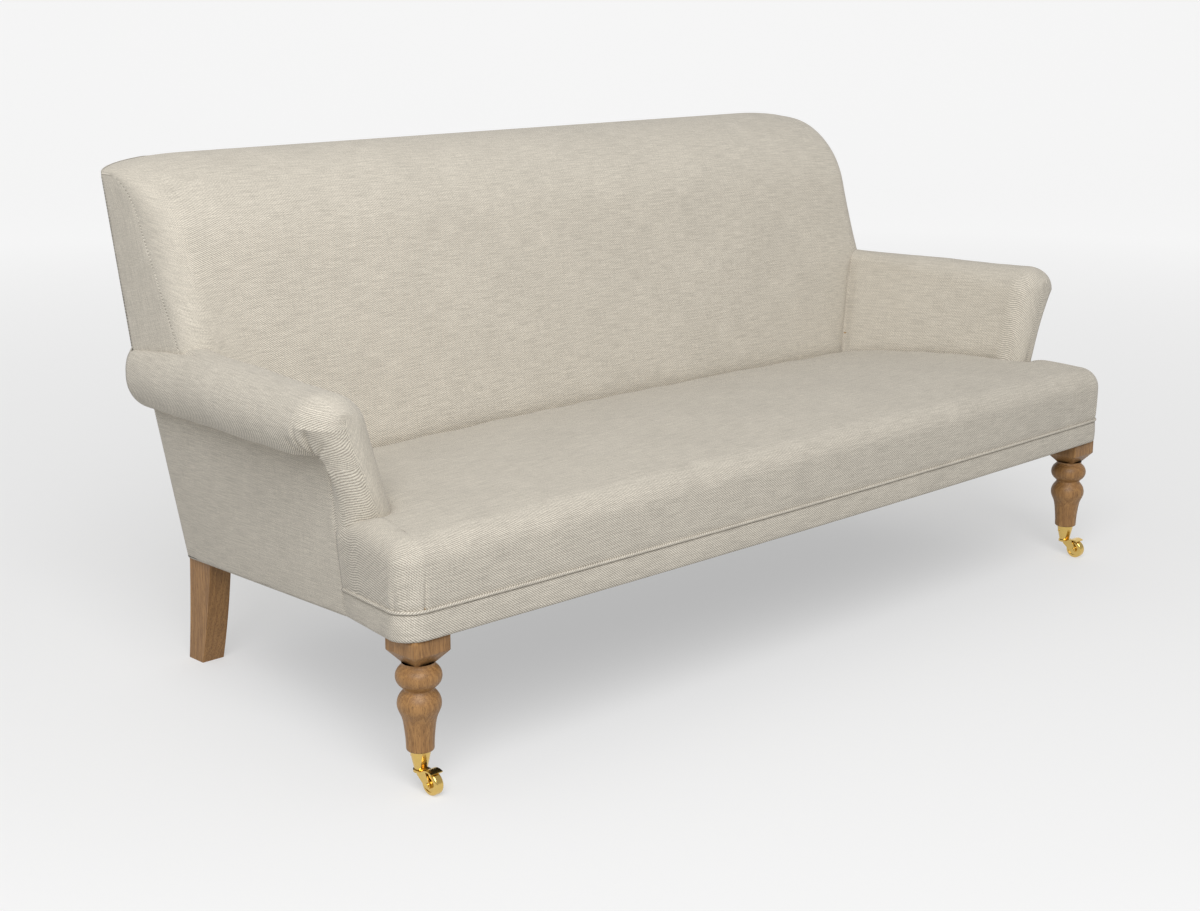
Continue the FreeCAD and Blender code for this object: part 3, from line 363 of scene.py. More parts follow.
def seat_grid():
    """Seat before its softness: up the front, over its edge, and back under the arms and the back."""
    wall_rows, edge_rows, top_rows = 16, 18, 75
    edge = 37.0
    low = 50.2
    seam_lift = 100.0
    rear_y_under = 150.0
    rear_x_under = 775.0
    under_nose = np.array([816.0, -214.0])
    grid = []
    for t in np.linspace(0, 1, wall_rows, endpoint=False):
        level = front_outline(0.0, seam_lift)
        bottom = base_z(level[:, 1]) + low
        top = seat_top(level[:, 0], level[:, 1]) - edge
        hem_tuck = 1.6 * bell(t, 0.08)
        grid.append(on_outline(front_outline(hem_tuck, 60.0 + 60.0 * t), mix(bottom, top, t)))
    for a in np.linspace(0, math.pi / 2, edge_rows):
        flat = front_outline(edge * (1 - math.cos(a)), seam_lift)
        grid.append(on_outline(flat, seat_top(flat[:, 0], flat[:, 1]) - edge * (1 - math.sin(a))))

    start = grid[-1]
    side = side_points + corner_points // 2
    run = np.cumsum(np.linalg.norm(np.diff(front_outline(0.0, seam_lift)[:side + 1], axis=0), axis=1))
    t = np.concatenate([[0.0], run[:-1]])[:, None] / run[-1]
    right = mix(under_nose, np.array([rear_x_under, rear_y_under]), t)
    across = start[side:start.shape[0] - side, 0]
    rear_x = across * rear_x_under / np.abs(across).max()
    rear = np.stack([rear_x, np.full(across.shape, rear_y_under)], axis=-1)
    inner = np.concatenate([right, rear, right[::-1] * np.array([-1.0, 1.0])])
    for t in np.linspace(0, 1, top_rows + 1)[1:]:
        flat = mix(start[:, :2], inner, t ** 1.05)
        grid.append(on_outline(flat, seat_top(flat[:, 0], flat[:, 1])))
    return np.array(grid), wall_rows, wall_rows + edge_rows


def corner_creases(p):
    """Depth of the two soft folds at each front corner of the seat."""
    creases = np.zeros(p.shape[:2])
    above = lengths_along(p, 0)
    around = lengths_along(p, 1)
    for column, reach, depth, width in ((37, 62.0, 2.6, 2.4), (8, 48.0, 1.1, 4.0)):
        for line in (side_points + column, p.shape[1] - 1 - side_points - column):
            off = around - around[:, line:line + 1]
            fade = smoothstep((reach - above) / (reach * 0.6)) * (above < reach)
            creases += depth * bell(off, width) * fade
            creases -= 0.9 * bell(np.abs(off) - width * 2.6, width * 1.6) * fade
    return creases


def seat_patches():
    """Tight seat: bowed front, rounded edge and crowned top that tucks in at the arms and the back."""
    p, wall_rows, rim_rows = seat_grid()
    x, y, z = p[..., 0], p[..., 1], p[..., 2]
    top_part = np.zeros(p.shape[:2])
    top_part[rim_rows:] = 1.0
    top_part[wall_rows:rim_rows] = np.linspace(0, 1, rim_rows - wall_rows)[:, None]
    arm_gap = gap_to_arm(x, y, z)
    back_gap = back_face_y(z) - y
    sink = np.maximum(tuck_in(arm_gap, (8.0, 17.0), (7.0, 5.0)), tuck_in(back_gap, (8.0, 20.0), (8.0, 6.0)))
    p[..., 2] = z - sink * top_part

    n = normals_facing(p, (50, 160), UPWARD)
    level = smoothstep((np.arange(p.shape[0]) - (rim_rows - 1)) / 5.0)[:, None, None]
    n = mix(n, np.array(UPWARD), level)
    soft = softness(p * np.array([1.0, 1.0, 1.6]), (1.3, 150.0, 1)) + softness(p, (0.5, 45.0, 2))
    tight = bell(np.maximum(arm_gap, 0.0), 50.0) + bell(np.maximum(back_gap, 0.0), 50.0)
    pull = 0.9 * np.sin(x / 19.0 + 2.0 * np.sin(x / 130.0)) * bell(back_gap - 16.0, 26.0)
    pull += 0.8 * np.sin(y / 15.0) * bell(arm_gap - 14.0, 22.0) * smoothstep((y - seam_y) / 50.0)
    swell = np.zeros(p.shape[:2])
    swell[:rim_rows] = 2.2 * bell(np.linspace(0, 1, rim_rows)[:, None] - 0.42, 0.36)
    move = (soft * (0.55 + 0.45 * np.exp(-tight)) + pull) * (0.25 + 0.75 * top_part) + swell
    p = p + n * (move - corner_creases(p))[..., None]

    hem_drop = 1.0
    inner_z = 330.0
    hem = p[0].copy()
    hem[:, 2] -= hem_drop
    inner_low = p[-1].copy()
    inner_low[:, 2] = inner_z
    rim = np.array([hem, p[0]])
    wall = np.array([p[-1], inner_low])
    underside = np.array([inner_low, hem])
    ends = [np.concatenate([p[:, end], [inner_low[end]], [hem[end]]]) for end in (0, -1)]
    return with_uvs(p, rim, wall, underside), ends


# Front border and piping

def strip_rows(levels):
    """Grid around the front outline from (inset, lift) rows."""
    grid = []
    for inset, lift in levels:
        flat = front_outline(inset, max(lift, 0.0))
        grid.append(on_outline(flat, base_z(flat[:, 1]) + lift))
    return np.array(grid)


def border_patches():
    """Cloth band under the piping, with rounded edges and a little swell."""
    lower = [(border_inner, 0.6), (5.0, 0.4), (2.2, 0.9), (0.7, 2.4), (0.0, 5.0)]
    middle = [(0.0, mix(5.0, 40.0, t)) for t in np.linspace(0, 1, 12)[1:-1]]
    upper = [(0.0, 40.0), (0.6, 42.6), (2.2, 44.0), (6.0, border_height)]
    p = strip_rows(lower + middle + upper)
    n = normals_facing(p, (8, 180), FORWARD)
    body = np.zeros(p.shape[:2])
    body[3:-3] = np.sin(np.linspace(0, math.pi, p.shape[0] - 6))[:, None]
    move = body * (0.9 + softness(p, (0.7, 60.0, 4)) + softness(p, (0.4, 22.0, 5)))
    p = p + n * move[..., None]
    inner = strip_rows([(border_inner, 0.6), (border_inner, border_height)])
    lid = np.array([p[-1], inner[1]])
    return with_uvs(p, inner, lid), []


def piping_patches():
    """Round piping along the front edge, from side seam to side seam."""
    path = strip_rows([(0.2, piping_lift)])[0]
    ahead = np.gradient(path, axis=0)
    ahead /= np.linalg.norm(ahead, axis=1, keepdims=True)
    side = np.cross(ahead, np.array(UPWARD))
    side /= np.linalg.norm(side, axis=1, keepdims=True)
    top = np.cross(side, ahead)
    size = piping_radius * (1.0 + 0.03 * wobble(path[:, None, :], 9.0, 3))
    tube = np.array([path + size * (side * math.cos(a) + top * math.sin(a))
                     for a in np.linspace(0, 2 * math.pi, 13)])
    return with_uvs(tube), [tube[:-1, 0], tube[:-1, -1]]


# Arms

def arm_section(y, panel_inset=2.4):
    """Section of the right arm at a station: its ring of (x, z) points and the places it is made from."""
    inside, lean = arm_face(y)
    share = (y - seam_y) / (arm_rear_y - seam_y)
    top = mix(*arm_top, share)
    roll_x = mix(*arm_roll_x, share)
    roll_radius = mix(*arm_roll_radius, share)
    side_lean = mix(*panel_lean, share)
    roll_z = top - roll_radius

    stretch = math.sqrt(1 + lean ** 2)
    flat_width = 6.0
    radius = (roll_x - flat_width - inside - lean * (top - face_z)) / (stretch - lean)
    shoulder_z = top - radius
    shoulder_x = inside + lean * (shoulder_z - face_z) + radius * stretch
    face_aim = math.pi - math.atan(lean)

    # The crease is where the outside panel's plane meets the roll
    foot = mix(*panel_x, share) - panel_inset * math.sqrt(1 + side_lean ** 2)
    offset = foot - side_lean * base_z(y)
    a = 1 + side_lean ** 2
    b = 2 * (side_lean * (offset - roll_x) - roll_z)
    c = (offset - roll_x) ** 2 + roll_z ** 2 - roll_radius ** 2
    crease_z = (-b - math.sqrt(b * b - 4 * a * c)) / (2 * a)
    crease = np.array([offset + side_lean * crease_z, crease_z])
    crease_aim = math.atan2(crease[1] - roll_z, crease[0] - roll_x)

    low = base_z(y) + 4.0
    knee = np.array([inside + lean * (knee_z - face_z), knee_z])
    foot_out = np.array([offset + side_lean * low, low])
    start = np.array([shoulder_x + radius * math.cos(face_aim), shoulder_z + radius * math.sin(face_aim)])

    def line(first, last, count):
        return mix(first, last, np.linspace(0, 1, count, endpoint=False)[:, None])

    def arc(x, z, size, s):
        return np.stack([x + size * np.cos(s), z + size * np.sin(s)], axis=-1)

    shoulder_aims = np.linspace(face_aim, math.pi / 2, shoulder_points, endpoint=False)
    roll_aims = mix(math.pi / 2, crease_aim, np.linspace(0, 1, roll_points) ** 0.86)
    ring = np.concatenate([
        line(np.array([knee[0], low]), knee, foot_points),
        line(knee, start, face_points),
        arc(shoulder_x, shoulder_z, radius, shoulder_aims),
        line(np.array([shoulder_x, top]), np.array([roll_x, top]), flat_points),
        arc(roll_x, roll_z, roll_radius, roll_aims),
        mix(crease, foot_out, np.linspace(0, 1, panel_points)[1:, None]),
    ])
    return SimpleNamespace(ring=ring, knee=knee, crease=crease, foot_out=foot_out, start=start,
                           side_lean=side_lean, roll_x=roll_x, roll_z=roll_z, roll_radius=roll_radius)


def gathered_section(y, share):
    """Section of the arm with the underside of its roll drawn in towards the point of the folds."""
    section = arm_section(y)
    ring = section.ring
    drawn = ring[roll_first:roll_last]
    aims = np.arctan2(drawn[:, 1] - section.roll_z, drawn[:, 0] - section.roll_x)
    if aims[-1] > 0:
        aims[-1] = aims[-2] + (aims[-2] - aims[-3])
    t = np.clip((draw_aim - aims) / (draw_aim - aims[-1]), 0, 1)[:, None]
    radius = section.roll_radius
    from_middle = radius * np.array([math.cos(draw_aim), math.sin(draw_aim)])
    begin = np.array([section.roll_x, section.roll_z]) + from_middle
    steer = begin + np.array([0.12 * radius, -0.62 * radius])
    pulled = curve(begin, steer, section.crease, t)
    ring[roll_first:roll_last] = np.where(t > 0, mix(drawn, pulled, share), drawn)
    return section


def arm_grid():
    """Grid of the right arm: rows run from the rear to the nose, columns around the section."""
    gather = 0.8
    roundness = 0.86
    under_steer = np.array([936.0, 498.0])
    rows = []
    plain = np.linspace(arm_rear_y, seam_y + 60.0, arm_rows)
    gathered = np.linspace(seam_y + 57.0, seam_y, gather_rows)
    for y in np.concatenate([plain, gathered]):
        ring = gathered_section(y, gather * float(smoothstep((seam_y + 55.0 - y) / 60.0))).ring
        rows.append(np.stack([ring[:, 0], np.full(len(ring), y), ring[:, 1]], axis=-1))

    # The nose eases the gathered underside out and closes the section to its middle
    seam = gathered_section(seam_y, gather)
    ring = seam.ring
    aims = np.arctan2(ring[roll_first:, 1] - seam.roll_z, ring[roll_first:, 0] - seam.roll_x)
    first = roll_first + int(np.argmax(aims < draw_aim))
    last = roll_last + 7
    span = np.linalg.norm(np.diff(ring[first:last], axis=0), axis=1)
    s = (np.concatenate([[0], np.cumsum(span)]) / span.sum())[:, None]
    soft_ring = ring.copy()
    soft_ring[first:last] = curve(ring[first], under_steer, ring[last - 1], s)
    roll_middle = (seam.start[0] + seam.roll_x + seam.roll_radius) / 2
    foot_middle = (seam.knee[0] + seam.crease[0]) / 2 - (seam.crease[0] - seam.foot_out[0]) / 2
    for t in np.linspace(0, 1.0, nose_rows)[1:]:
        out = math.sin(t * math.pi / 2) ** roundness
        narrow = max(0.0, math.cos(t * math.pi / 2)) ** roundness
        flatten = math.sqrt(1 - (0.88 * out) ** 2)
        nose = mix(ring, soft_ring, float(smoothstep(t / 0.28)))
        climb = np.clip((nose[:, 1] - seam.knee[1]) / (seam.roll_z - seam.knee[1]), 0, 1)
        middle = mix(foot_middle, roll_middle, climb)
        x = middle + (nose[:, 0] - middle) * narrow
        over = np.maximum(nose[:, 1] - seam.roll_z, 0.0)
        z = np.where(over > 0, seam.roll_z + over * flatten, nose[:, 1])
        rows.append(np.stack([x, np.full(len(ring), seam_y - nose_reach * out), z], axis=-1))
    return np.array(rows)


def gathered_folds(up, forward):
    """Depth of the folds that run out from the crease's end, over distances up the roll and forward."""
    folds = np.zeros(up.shape)
    for aim, reach, depth in ((-16, 100, 4.0), (4, 118, 5.5), (22, 104, 5.0), (44, 80, 4.0)):
        c, s = math.cos(math.radians(aim)), math.sin(math.radians(aim))
        distance = up * c + forward * s
        off = -up * s + forward * c
        width = 1.6 + 0.035 * np.maximum(distance, 0.0)
        fade = smoothstep((reach - distance) / (0.45 * reach)) * (distance > -1.0)
        folds = np.maximum(folds, depth * bell(off, width) * fade)
    spread = np.sqrt(up ** 2 + forward ** 2)
    angle = np.arctan2(forward, up + 1e-6)
    ruffle = 1.3 * np.cos(angle * 7.0 + 0.6) * bell(spread - 20.0, 26.0)
    pocket = 4.0 * bell(spread, 8.0)
    return np.maximum(folds, pocket) - ruffle


def arm_patches():
    """Right arm: inside, roll and nose in one cloth, tucked in at the seat and the back."""
    p = arm_grid()
    y, z = p[..., 1], p[..., 2]
    rear = smoothstep((y - rear_blend_y) / (arm_rear_y - rear_blend_y))
    p[..., 1] = y + rear * (rear_y(z) - 2.6 - arm_rear_y)
    n = normals_facing(p, (30, 40), LEFTWARD)
    uv = grid_uv(p)
    x, y, z = p[..., 0], p[..., 1], p[..., 2]
    inner = np.zeros(p.shape[:2])
    inner[:, :foot_points + face_points] = 1.0
    height = z - (seat_top(x, y) - 10.0)
    behind_nose = smoothstep((y - seam_y + 24.0) / 40.0)
    tuck = tuck_in(height, (4.0, 17.0), (4.0, 5.0)) * behind_nose * inner
    below = smoothstep((tuck_fade_z - z) / tuck_fade)
    back_tuck = tuck_in(back_face_y(z) - y, (3.0, 15.0), (3.0, 5.0)) * below * inner
    tuck = np.maximum(tuck, back_tuck)
    nose_swell = 0.8 * (1.0 - behind_nose)
    nose_foot_swell = 1.6 * bell(z - 405.0, 40.0) * (1.0 - behind_nose)
    soft = softness(p, (1.0, 120.0, 7), (0.45, 38.0, 8)) * (0.3 + 0.7 * behind_nose) + nose_swell
    lines = 0.5 * np.sin(y / 12.0 + 1.5 * np.sin(z / 60.0)) * bell(height - 22.0, 24.0) * inner
    move = soft + lines - tuck + nose_foot_swell

    crease_column = roll_last - 1
    around = lengths_along(p, 1)
    along = lengths_along(p, 0)
    up = np.abs(around - around[:, crease_column:crease_column + 1])
    forward = along - along[seam_row:seam_row + 1, :]
    on_roll = np.zeros(p.shape[:2])
    on_roll[:, :crease_column + 1] = 1.0
    move = move - gathered_folds(up, forward) * on_roll
    seam_groove = 1.8 * bell(forward, 3.2) * (1.0 - on_roll) * (z > 300.0)
    notch = 5.0 * bell(np.abs(x) - back_half_width, 5.0) * smoothstep((y - 150.0) / 30.0) * (z > 560.0)
    to_tip = (p.shape[0] - 1) - np.arange(p.shape[0])[:, None]
    move = (move - seam_groove - notch) * smoothstep(to_tip / 10.0)
    p = p + n * move[..., None]
    return [(p, uv)] + with_uvs(p[:, [-1, 0]]), [p[0]]


def panel_patches():
    """Outside panel of the right arm, from the side seam to the rear."""
    rows = []
    for y in mix(seam_y + 0.6, arm_rear_y, np.linspace(0, 1, 110)):
        section = arm_section(y, 0.0)
        z = mix(base_z(y) + 0.4, section.crease[1] + 1.0, np.linspace(0, 1, 52))
        x = section.crease[0] + section.side_lean * (z - section.crease[1])
        rows.append(np.stack([x, np.full(len(z), y), z], axis=-1))
    p = np.array(rows)
    rear = smoothstep((p[..., 1] - rear_blend_y) / (arm_rear_y - rear_blend_y))
    p[..., 1] += rear * (rear_y(p[..., 2]) - 1.6 - arm_rear_y)
    n = normals_facing(p, (40, 20), RIGHTWARD)
    along = lengths_along(p, 0)
    edges = np.minimum.reduce([along, along[-1:] - along, distance_to_sides(p)])
    front_edge = 0.8 * bell(along, 4.0)
    setback = 2.4
    soft = softness(p, (0.9, 130.0, 11), (0.35, 42.0, 12))
    move = swell_out(edges, (2.4, 26.0), (0.9, 3.0)) + soft * smoothstep(edges / 30.0) - setback - front_edge
    p = p + n * move[..., None]
    return with_uvs(p, turned_edge(p, (-5.0, 0.0, 0.0))), []


# Back

def ease(u):
    """Quarter of a circle, from 0 at 0 to 1 at 1."""
    u = min(1.0, max(0.0, u))
    return 1.0 - math.sqrt(max(0.0, 1.0 - u * u))


def back_ring(x):
    """Section of the back as (y, z) points, from its foot up the front, over the top and down the rear."""
    ax = abs(x)
    bulge = ease((ax - bulge_start_x) / (back_half_width - bulge_start_x))
    crest = ease((ax - crest_start_x) / (back_half_width - crest_start_x))
    rake = mix(*back_rake, bulge)
    radius = mix(*back_roll_radius, bulge)
    face = mix(*back_face, bulge)
    top = mix(*back_top, crest)
    aim = math.atan(1 / rake)
    start_z = top - radius * (1 - math.cos(aim))
    start_y = face + rake * (start_z - back_face_z)
    centre_y = start_y + radius * math.sin(aim)

    # The foot climbs along the arm's leaning face
    low = min(545.0, max(330.0, 360.0 + (ax - 759.0) / arm_lean[1]))
    edge = 8.0
    z = np.linspace(low, start_z, back_face_points, endpoint=False)
    front = np.stack([face + rake * (z - back_face_z), z], axis=-1)
    a = np.linspace(aim, 0.0, back_roll_points)
    roll = np.stack([centre_y - radius * np.sin(a), top - radius * (1 - np.cos(a))], axis=-1)
    rear_top = float(rear_y(top - edge))
    a = np.linspace(0, math.pi / 2, 8)
    corner = np.stack([rear_top - edge + edge * np.sin(a), top - edge + edge * np.cos(a)], axis=-1)
    line = mix(roll[-1], corner[0], np.linspace(0, 1, 8)[1:-1, None])
    z = np.linspace(top - edge, low, 40)[1:]
    rear = np.stack([rear_y(z), z], axis=-1)
    rear[:, 0] -= rear_cloth_setback
    corner[:, 0] -= rear_cloth_setback * np.linspace(0, 1, 8)
    return np.concatenate([front, roll, line, corner, rear])


def back_patches():
    """Tight back with a rolled top, tucked in at the seat and the arms."""
    half = np.concatenate([
        np.linspace(0, crest_start_x, 92, endpoint=False),
        mix(crest_start_x, bulge_start_x, np.linspace(0, 1, 22, endpoint=False)),
        bulge_start_x + (back_half_width - bulge_start_x) * np.sin(np.linspace(0, math.pi / 2, 22)),
    ])
    rows = []
    for x in np.concatenate([-half[::-1][:-1], half]):
        ring = back_ring(x)
        rows.append(np.column_stack([np.full(len(ring), x), ring]))
    p = np.array(rows)
    n = normals_facing(p, (p.shape[0] // 2, 20), FORWARD)
    x, y, z = p[..., 0], p[..., 1], p[..., 2]
    front = np.zeros(p.shape[:2])
    front[:, :back_face_points + back_roll_points] = 1.0
    arm_gap = arm_face_x(y, z) - np.abs(x)
    below = smoothstep((tuck_fade_z - z) / tuck_fade)
    height = z - seat_top(x, y) + 10.0
    tuck = np.maximum(tuck_in(arm_gap, (3.0, 15.0), (3.0, 5.0)) * front * below,
                      tuck_in(height, (4.0, 20.0), (4.0, 6.0)) * front)
    soft = softness(p, (1.3, 190.0, 14), (0.5, 55.0, 15))
    pull = 0.6 * np.sin(x / 21.0 + 2.2 * np.sin(x / 150.0)) * bell(height - 24.0, 30.0) * front
    pull += 0.6 * np.sin(z / 15.0 + np.sin(z / 60.0)) * bell(arm_gap - 16.0, 22.0) * front * below
    rise = smoothstep((back_half_width - np.abs(x)) / 30.0)
    move = (soft + pull) * front * rise - tuck
    p = p + n * move[..., None]
    return with_uvs(p, p[:, [-1, 0]]), [p[0], p[-1]]


def back_side_patches():
    """Right-hand side panel of the back, a little swelled between its seams."""
    low = 560.0
    high = 874.4
    slope_z = 867.0
    front = back_ring(back_half_width)[:back_face_points + back_roll_points]
    across = np.linspace(0, 1, 30)
    rows = []
    for t in np.linspace(0.0, 1.0, 70):
        z = mix(low, high, 1 - (1 - t) ** 1.6)
        y_front = float(np.interp(z, front[:, 1], front[:, 0]))
        y_rear = float(rear_y(z)) - rear_cloth_setback
        if z > slope_z:
            y_rear = min(y_rear, float(rear_y(slope_z)) - rear_cloth_setback - (z - slope_z) * 0.9)
        y = mix(y_front, y_rear, across)
        rows.append(np.stack([np.full(len(y), back_half_width), y, np.full(len(y), z)], axis=-1))
    p = np.array(rows)
    edge = np.minimum(distance_to_sides(p), (high - p[..., 2]) * 0.8)
    setback = 1.1
    soft = softness(p, (0.5, 60.0, 17))
    p[..., 0] += swell_out(edge, (1.7, 12.0), (0.7, 2.0)) - setback + soft * smoothstep(edge / 14.0)
    inner = p[:, [0, -1]].copy()
    inner[..., 0] = back_half_width - 5.0
    front_turn = np.array([p[:, 0], inner[:, 0]])
    rear_turn = np.array([p[:, -1], inner[:, 1]])
    return with_uvs(p, front_turn, rear_turn), []


def rear_half_width(z):
    """Half width of the rear panel at a height: base, then arm rolls, then back."""
    crest_drop = back_top[0] - back_top[1]
    width = panel_x[1] + panel_lean[1] * (z - base_z(base_rear[0]))
    roll_z = arm_top[1] - arm_roll_radius[1]
    reach = arm_roll_radius[1] ** 2 - (z - roll_z) ** 2
    if reach > 0 and z > rear_roll_z:
        width = max(width, arm_roll_x[1] + math.sqrt(reach))
    if z > 581.0:
        crest = min(1.0, max(0.0, (back_top[0] - z) / crest_drop))
        width = crest_start_x + (back_half_width - crest_start_x) * math.sqrt(1 - (1 - crest) ** 2)
    return width


def rear_patches():
    """Cloth over the rear, tacked along its whole outline."""
    low = base_z(base_rear[0])
    high = 898.0
    columns = 150
    heights = np.concatenate([
        np.linspace(low + 0.5, rear_roll_z, 60, endpoint=False),
        np.linspace(rear_roll_z, 600.0, 60, endpoint=False),
        np.linspace(600.0, back_top[1], 56, endpoint=False),
        back_top[1] + 22.0 * np.sin(np.linspace(0, math.pi / 2, 14)),
    ])
    even = np.linspace(-1, 1, columns)
    spread = np.sin(even * math.pi / 2) * 0.35 + even * 0.65
    rows = []
    for z in heights:
        width = rear_half_width(z) - 1.0
        y = float(rear_y(z))
        rows.append(np.stack([spread * width, np.full(columns, y), np.full(columns, z)], axis=-1))
    p = np.array(rows)
    edge = np.minimum.reduce([distance_to_sides(p), high - p[..., 2], p[..., 2] - low])
    setback = 2.0
    soft = softness(p, (1.0, 180.0, 19), (0.3, 50.0, 20))
    swell = swell_out(np.maximum(edge, 0), (1.6, 30.0), (1.2, 2.5)) - setback
    p[..., 1] += swell + soft * smoothstep(edge / 30.0)
    return with_uvs(p, turned_edge(p, (0.0, -4.0, 0.0))), []


# Front legs

# Turned outline as (radius, z), from the block down to the castor's cup
LEG_PROFILE = [
    (25.8, 206.0), (25.2, 202.5), (27.6, 199.5), (31.6, 195.4), (34.6, 190.0), (35.7, 184.0), (35.0, 178.4),
    (32.4, 173.0), (28.2, 168.4), (25.0, 165.6), (23.6, 162.8), (24.8, 160.4), (28.0, 156.4), (31.2, 151.6),
    (33.2, 146.2), (34.0, 140.4), (33.4, 134.4), (31.4, 128.6), (29.0, 123.4), (26.8, 117.4), (25.2, 110.0),
    (24.1, 102.0), (23.2, 94.0), (22.4, 86.0), (21.9, 78.0), (21.7, 70.4), (21.2, 66.4), (19.6, 65.0),
]

# Square block over the turning as (half width, z, corner radius), up to its upright faces
BLOCK_LEVELS = [
    (18.0, 204.5, 4.0), (18.6, 204.2, 3.4), (34.0, 223.2, 1.6), (34.7, 224.2, 1.6), (35.0, 225.4, 1.6),
]


def smooth_profile(points, steps=4):
    """Smooth curve through points."""
    p = np.array(points)
    ends = np.concatenate([[2 * p[0] - p[1]], p, [2 * p[-1] - p[-2]]])
    out = []
    for i in range(1, len(ends) - 2):
        a, b, c, d = ends[i - 1:i + 3]
        for t in np.linspace(0, 1, steps, endpoint=False):
            out.append(0.5 * (2 * b + (c - a) * t + (2 * a - 5 * b + 4 * c - d) * t * t
                              + (3 * b - a - 3 * c + d) * t ** 3))
    out.append(p[-1])
    return np.array(out)


def square_ring(x0, y0, half, z, corner):
    """Square ring with small rounded corners."""
    points = []
    for quarter in range(4):
        c, s = math.cos(quarter * math.pi / 2), math.sin(quarter * math.pi / 2)
        for a in np.linspace(0, math.pi / 2, 5):
            px = half - corner + corner * math.cos(a)
            py = half - corner + corner * math.sin(a)
            points.append((x0 + px * c - py * s, y0 + px * s + py * c, z))
    points.append(points[0])
    return np.array(points)


def leg_patches(x0, y0):
    """Turned front leg under its square block."""
    bore_radius = 8.0
    turn = np.linspace(0, 2 * math.pi, 65)
    profile = list(smooth_profile(LEG_PROFILE)) + [(bore_radius, LEG_PROFILE[-1][1])]
    turned = np.array([np.stack([x0 + r * np.cos(turn), y0 + r * np.sin(turn), np.full(65, z)], axis=-1)
                       for r, z in profile])
    block = [square_ring(x0, y0, *level) for level in BLOCK_LEVELS]
    half, _, corner = BLOCK_LEVELS[-1]
    top = square_ring(x0, y0, half, 0.0, corner)
    top[:, 2] = base_z(top[:, 1]) + 0.3
    block = np.array(block + [mix(block[-1], top, t) for t in np.linspace(0, 1, 5)[1:]])
    return with_uvs(turned, block), [block[0][:-1], block[-1][:-1]]


# Materials

def material(name):
    m = bpy.data.materials.new(name)
    m.use_nodes = True
    tree = m.node_tree
    return m, tree, tree.nodes["Principled BSDF"]


def add(tree, kind, **values):
    node = tree.nodes.new(kind)
    for key, value in values.items():
        setattr(node, key, value)
    return node


def math_node(tree, operation, *values, clamp=False):
    node = add(tree, "ShaderNodeMath", operation=operation, use_clamp=clamp)
    for socket, value in zip(node.inputs, values):
        if isinstance(value, (int, float)):
            socket.default_value = value
        else:
            tree.links.new(value, socket)
    return node.outputs[0]


def plus(tree, a, b, clamp=False):
    return math_node(tree, "ADD", a, b, clamp=clamp)


def times(tree, a, b):
    return math_node(tree, "MULTIPLY", a, b)


def wave(tree, length, pitch):
    """Sine along a length, one turn in each pitch."""
    return math_node(tree, "SINE", times(tree, length, 2 * math.pi / pitch))


def noise_field(tree, place, scale, detail, **inputs):
    """Value of a noise texture, with any further inputs of its node."""
    node = add(tree, "ShaderNodeTexNoise")
    for key, value in dict(Scale=scale, Detail=detail, **inputs).items():
        node.inputs[key].default_value = value
    tree.links.new(place, node.inputs["Vector"])
    return node.outputs[0]


def scaled_place(tree, place, scale, turn=0.0):
    node = add(tree, "ShaderNodeMapping")
    node.inputs["Rotation"].default_value = (0, 0, turn)
    node.inputs["Scale"].default_value = scale
    tree.links.new(place, node.inputs["Vector"])
    return node.outputs[0]


def map_range(tree, value, taken=(0.0, 1.0), given=(0.0, 1.0)):
    """Value moved from the span taken to the span given."""
    node = add(tree, "ShaderNodeMapRange")
    ends = {"From Min": taken[0], "From Max": taken[1], "To Min": given[0], "To Max": given[1]}
    for key, end in ends.items():
        node.inputs[key].default_value = end
    tree.links.new(value, node.inputs["Value"])
    return node.outputs[0]


def bump_from(tree, shader, height, strength, distance):
    node = add(tree, "ShaderNodeBump")
    node.inputs["Strength"].default_value = strength
    node.inputs["Distance"].default_value = distance
    tree.links.new(height, node.inputs["Height"])
    tree.links.new(node.outputs[0], shader.inputs["Normal"])


def colour_mix(tree, factor, a, b, blend="MIX"):
    node = add(tree, "ShaderNodeMix", data_type="RGBA", blend_type=blend)
    for socket, value in ((node.inputs[0], factor), (node.inputs[6], a), (node.inputs[7], b)):
        if isinstance(value, (int, float, tuple)):
            socket.default_value = value
        else:
            tree.links.new(value, socket)
    return node.outputs[2]


def srgb(colour, shade=1.0):
    """Linear colour from one of 0 to 255 a channel, made lighter or darker by a shade."""
    def one(v):
        v = v / 255.0
        return v / 12.92 if v <= 0.04045 else ((v + 0.055) / 1.055) ** 2.4
    return tuple(one(v) * shade for v in colour) + (1.0,)


def object_place(tree):
    return add(tree, "ShaderNodeTexCoord").outputs["Object"]


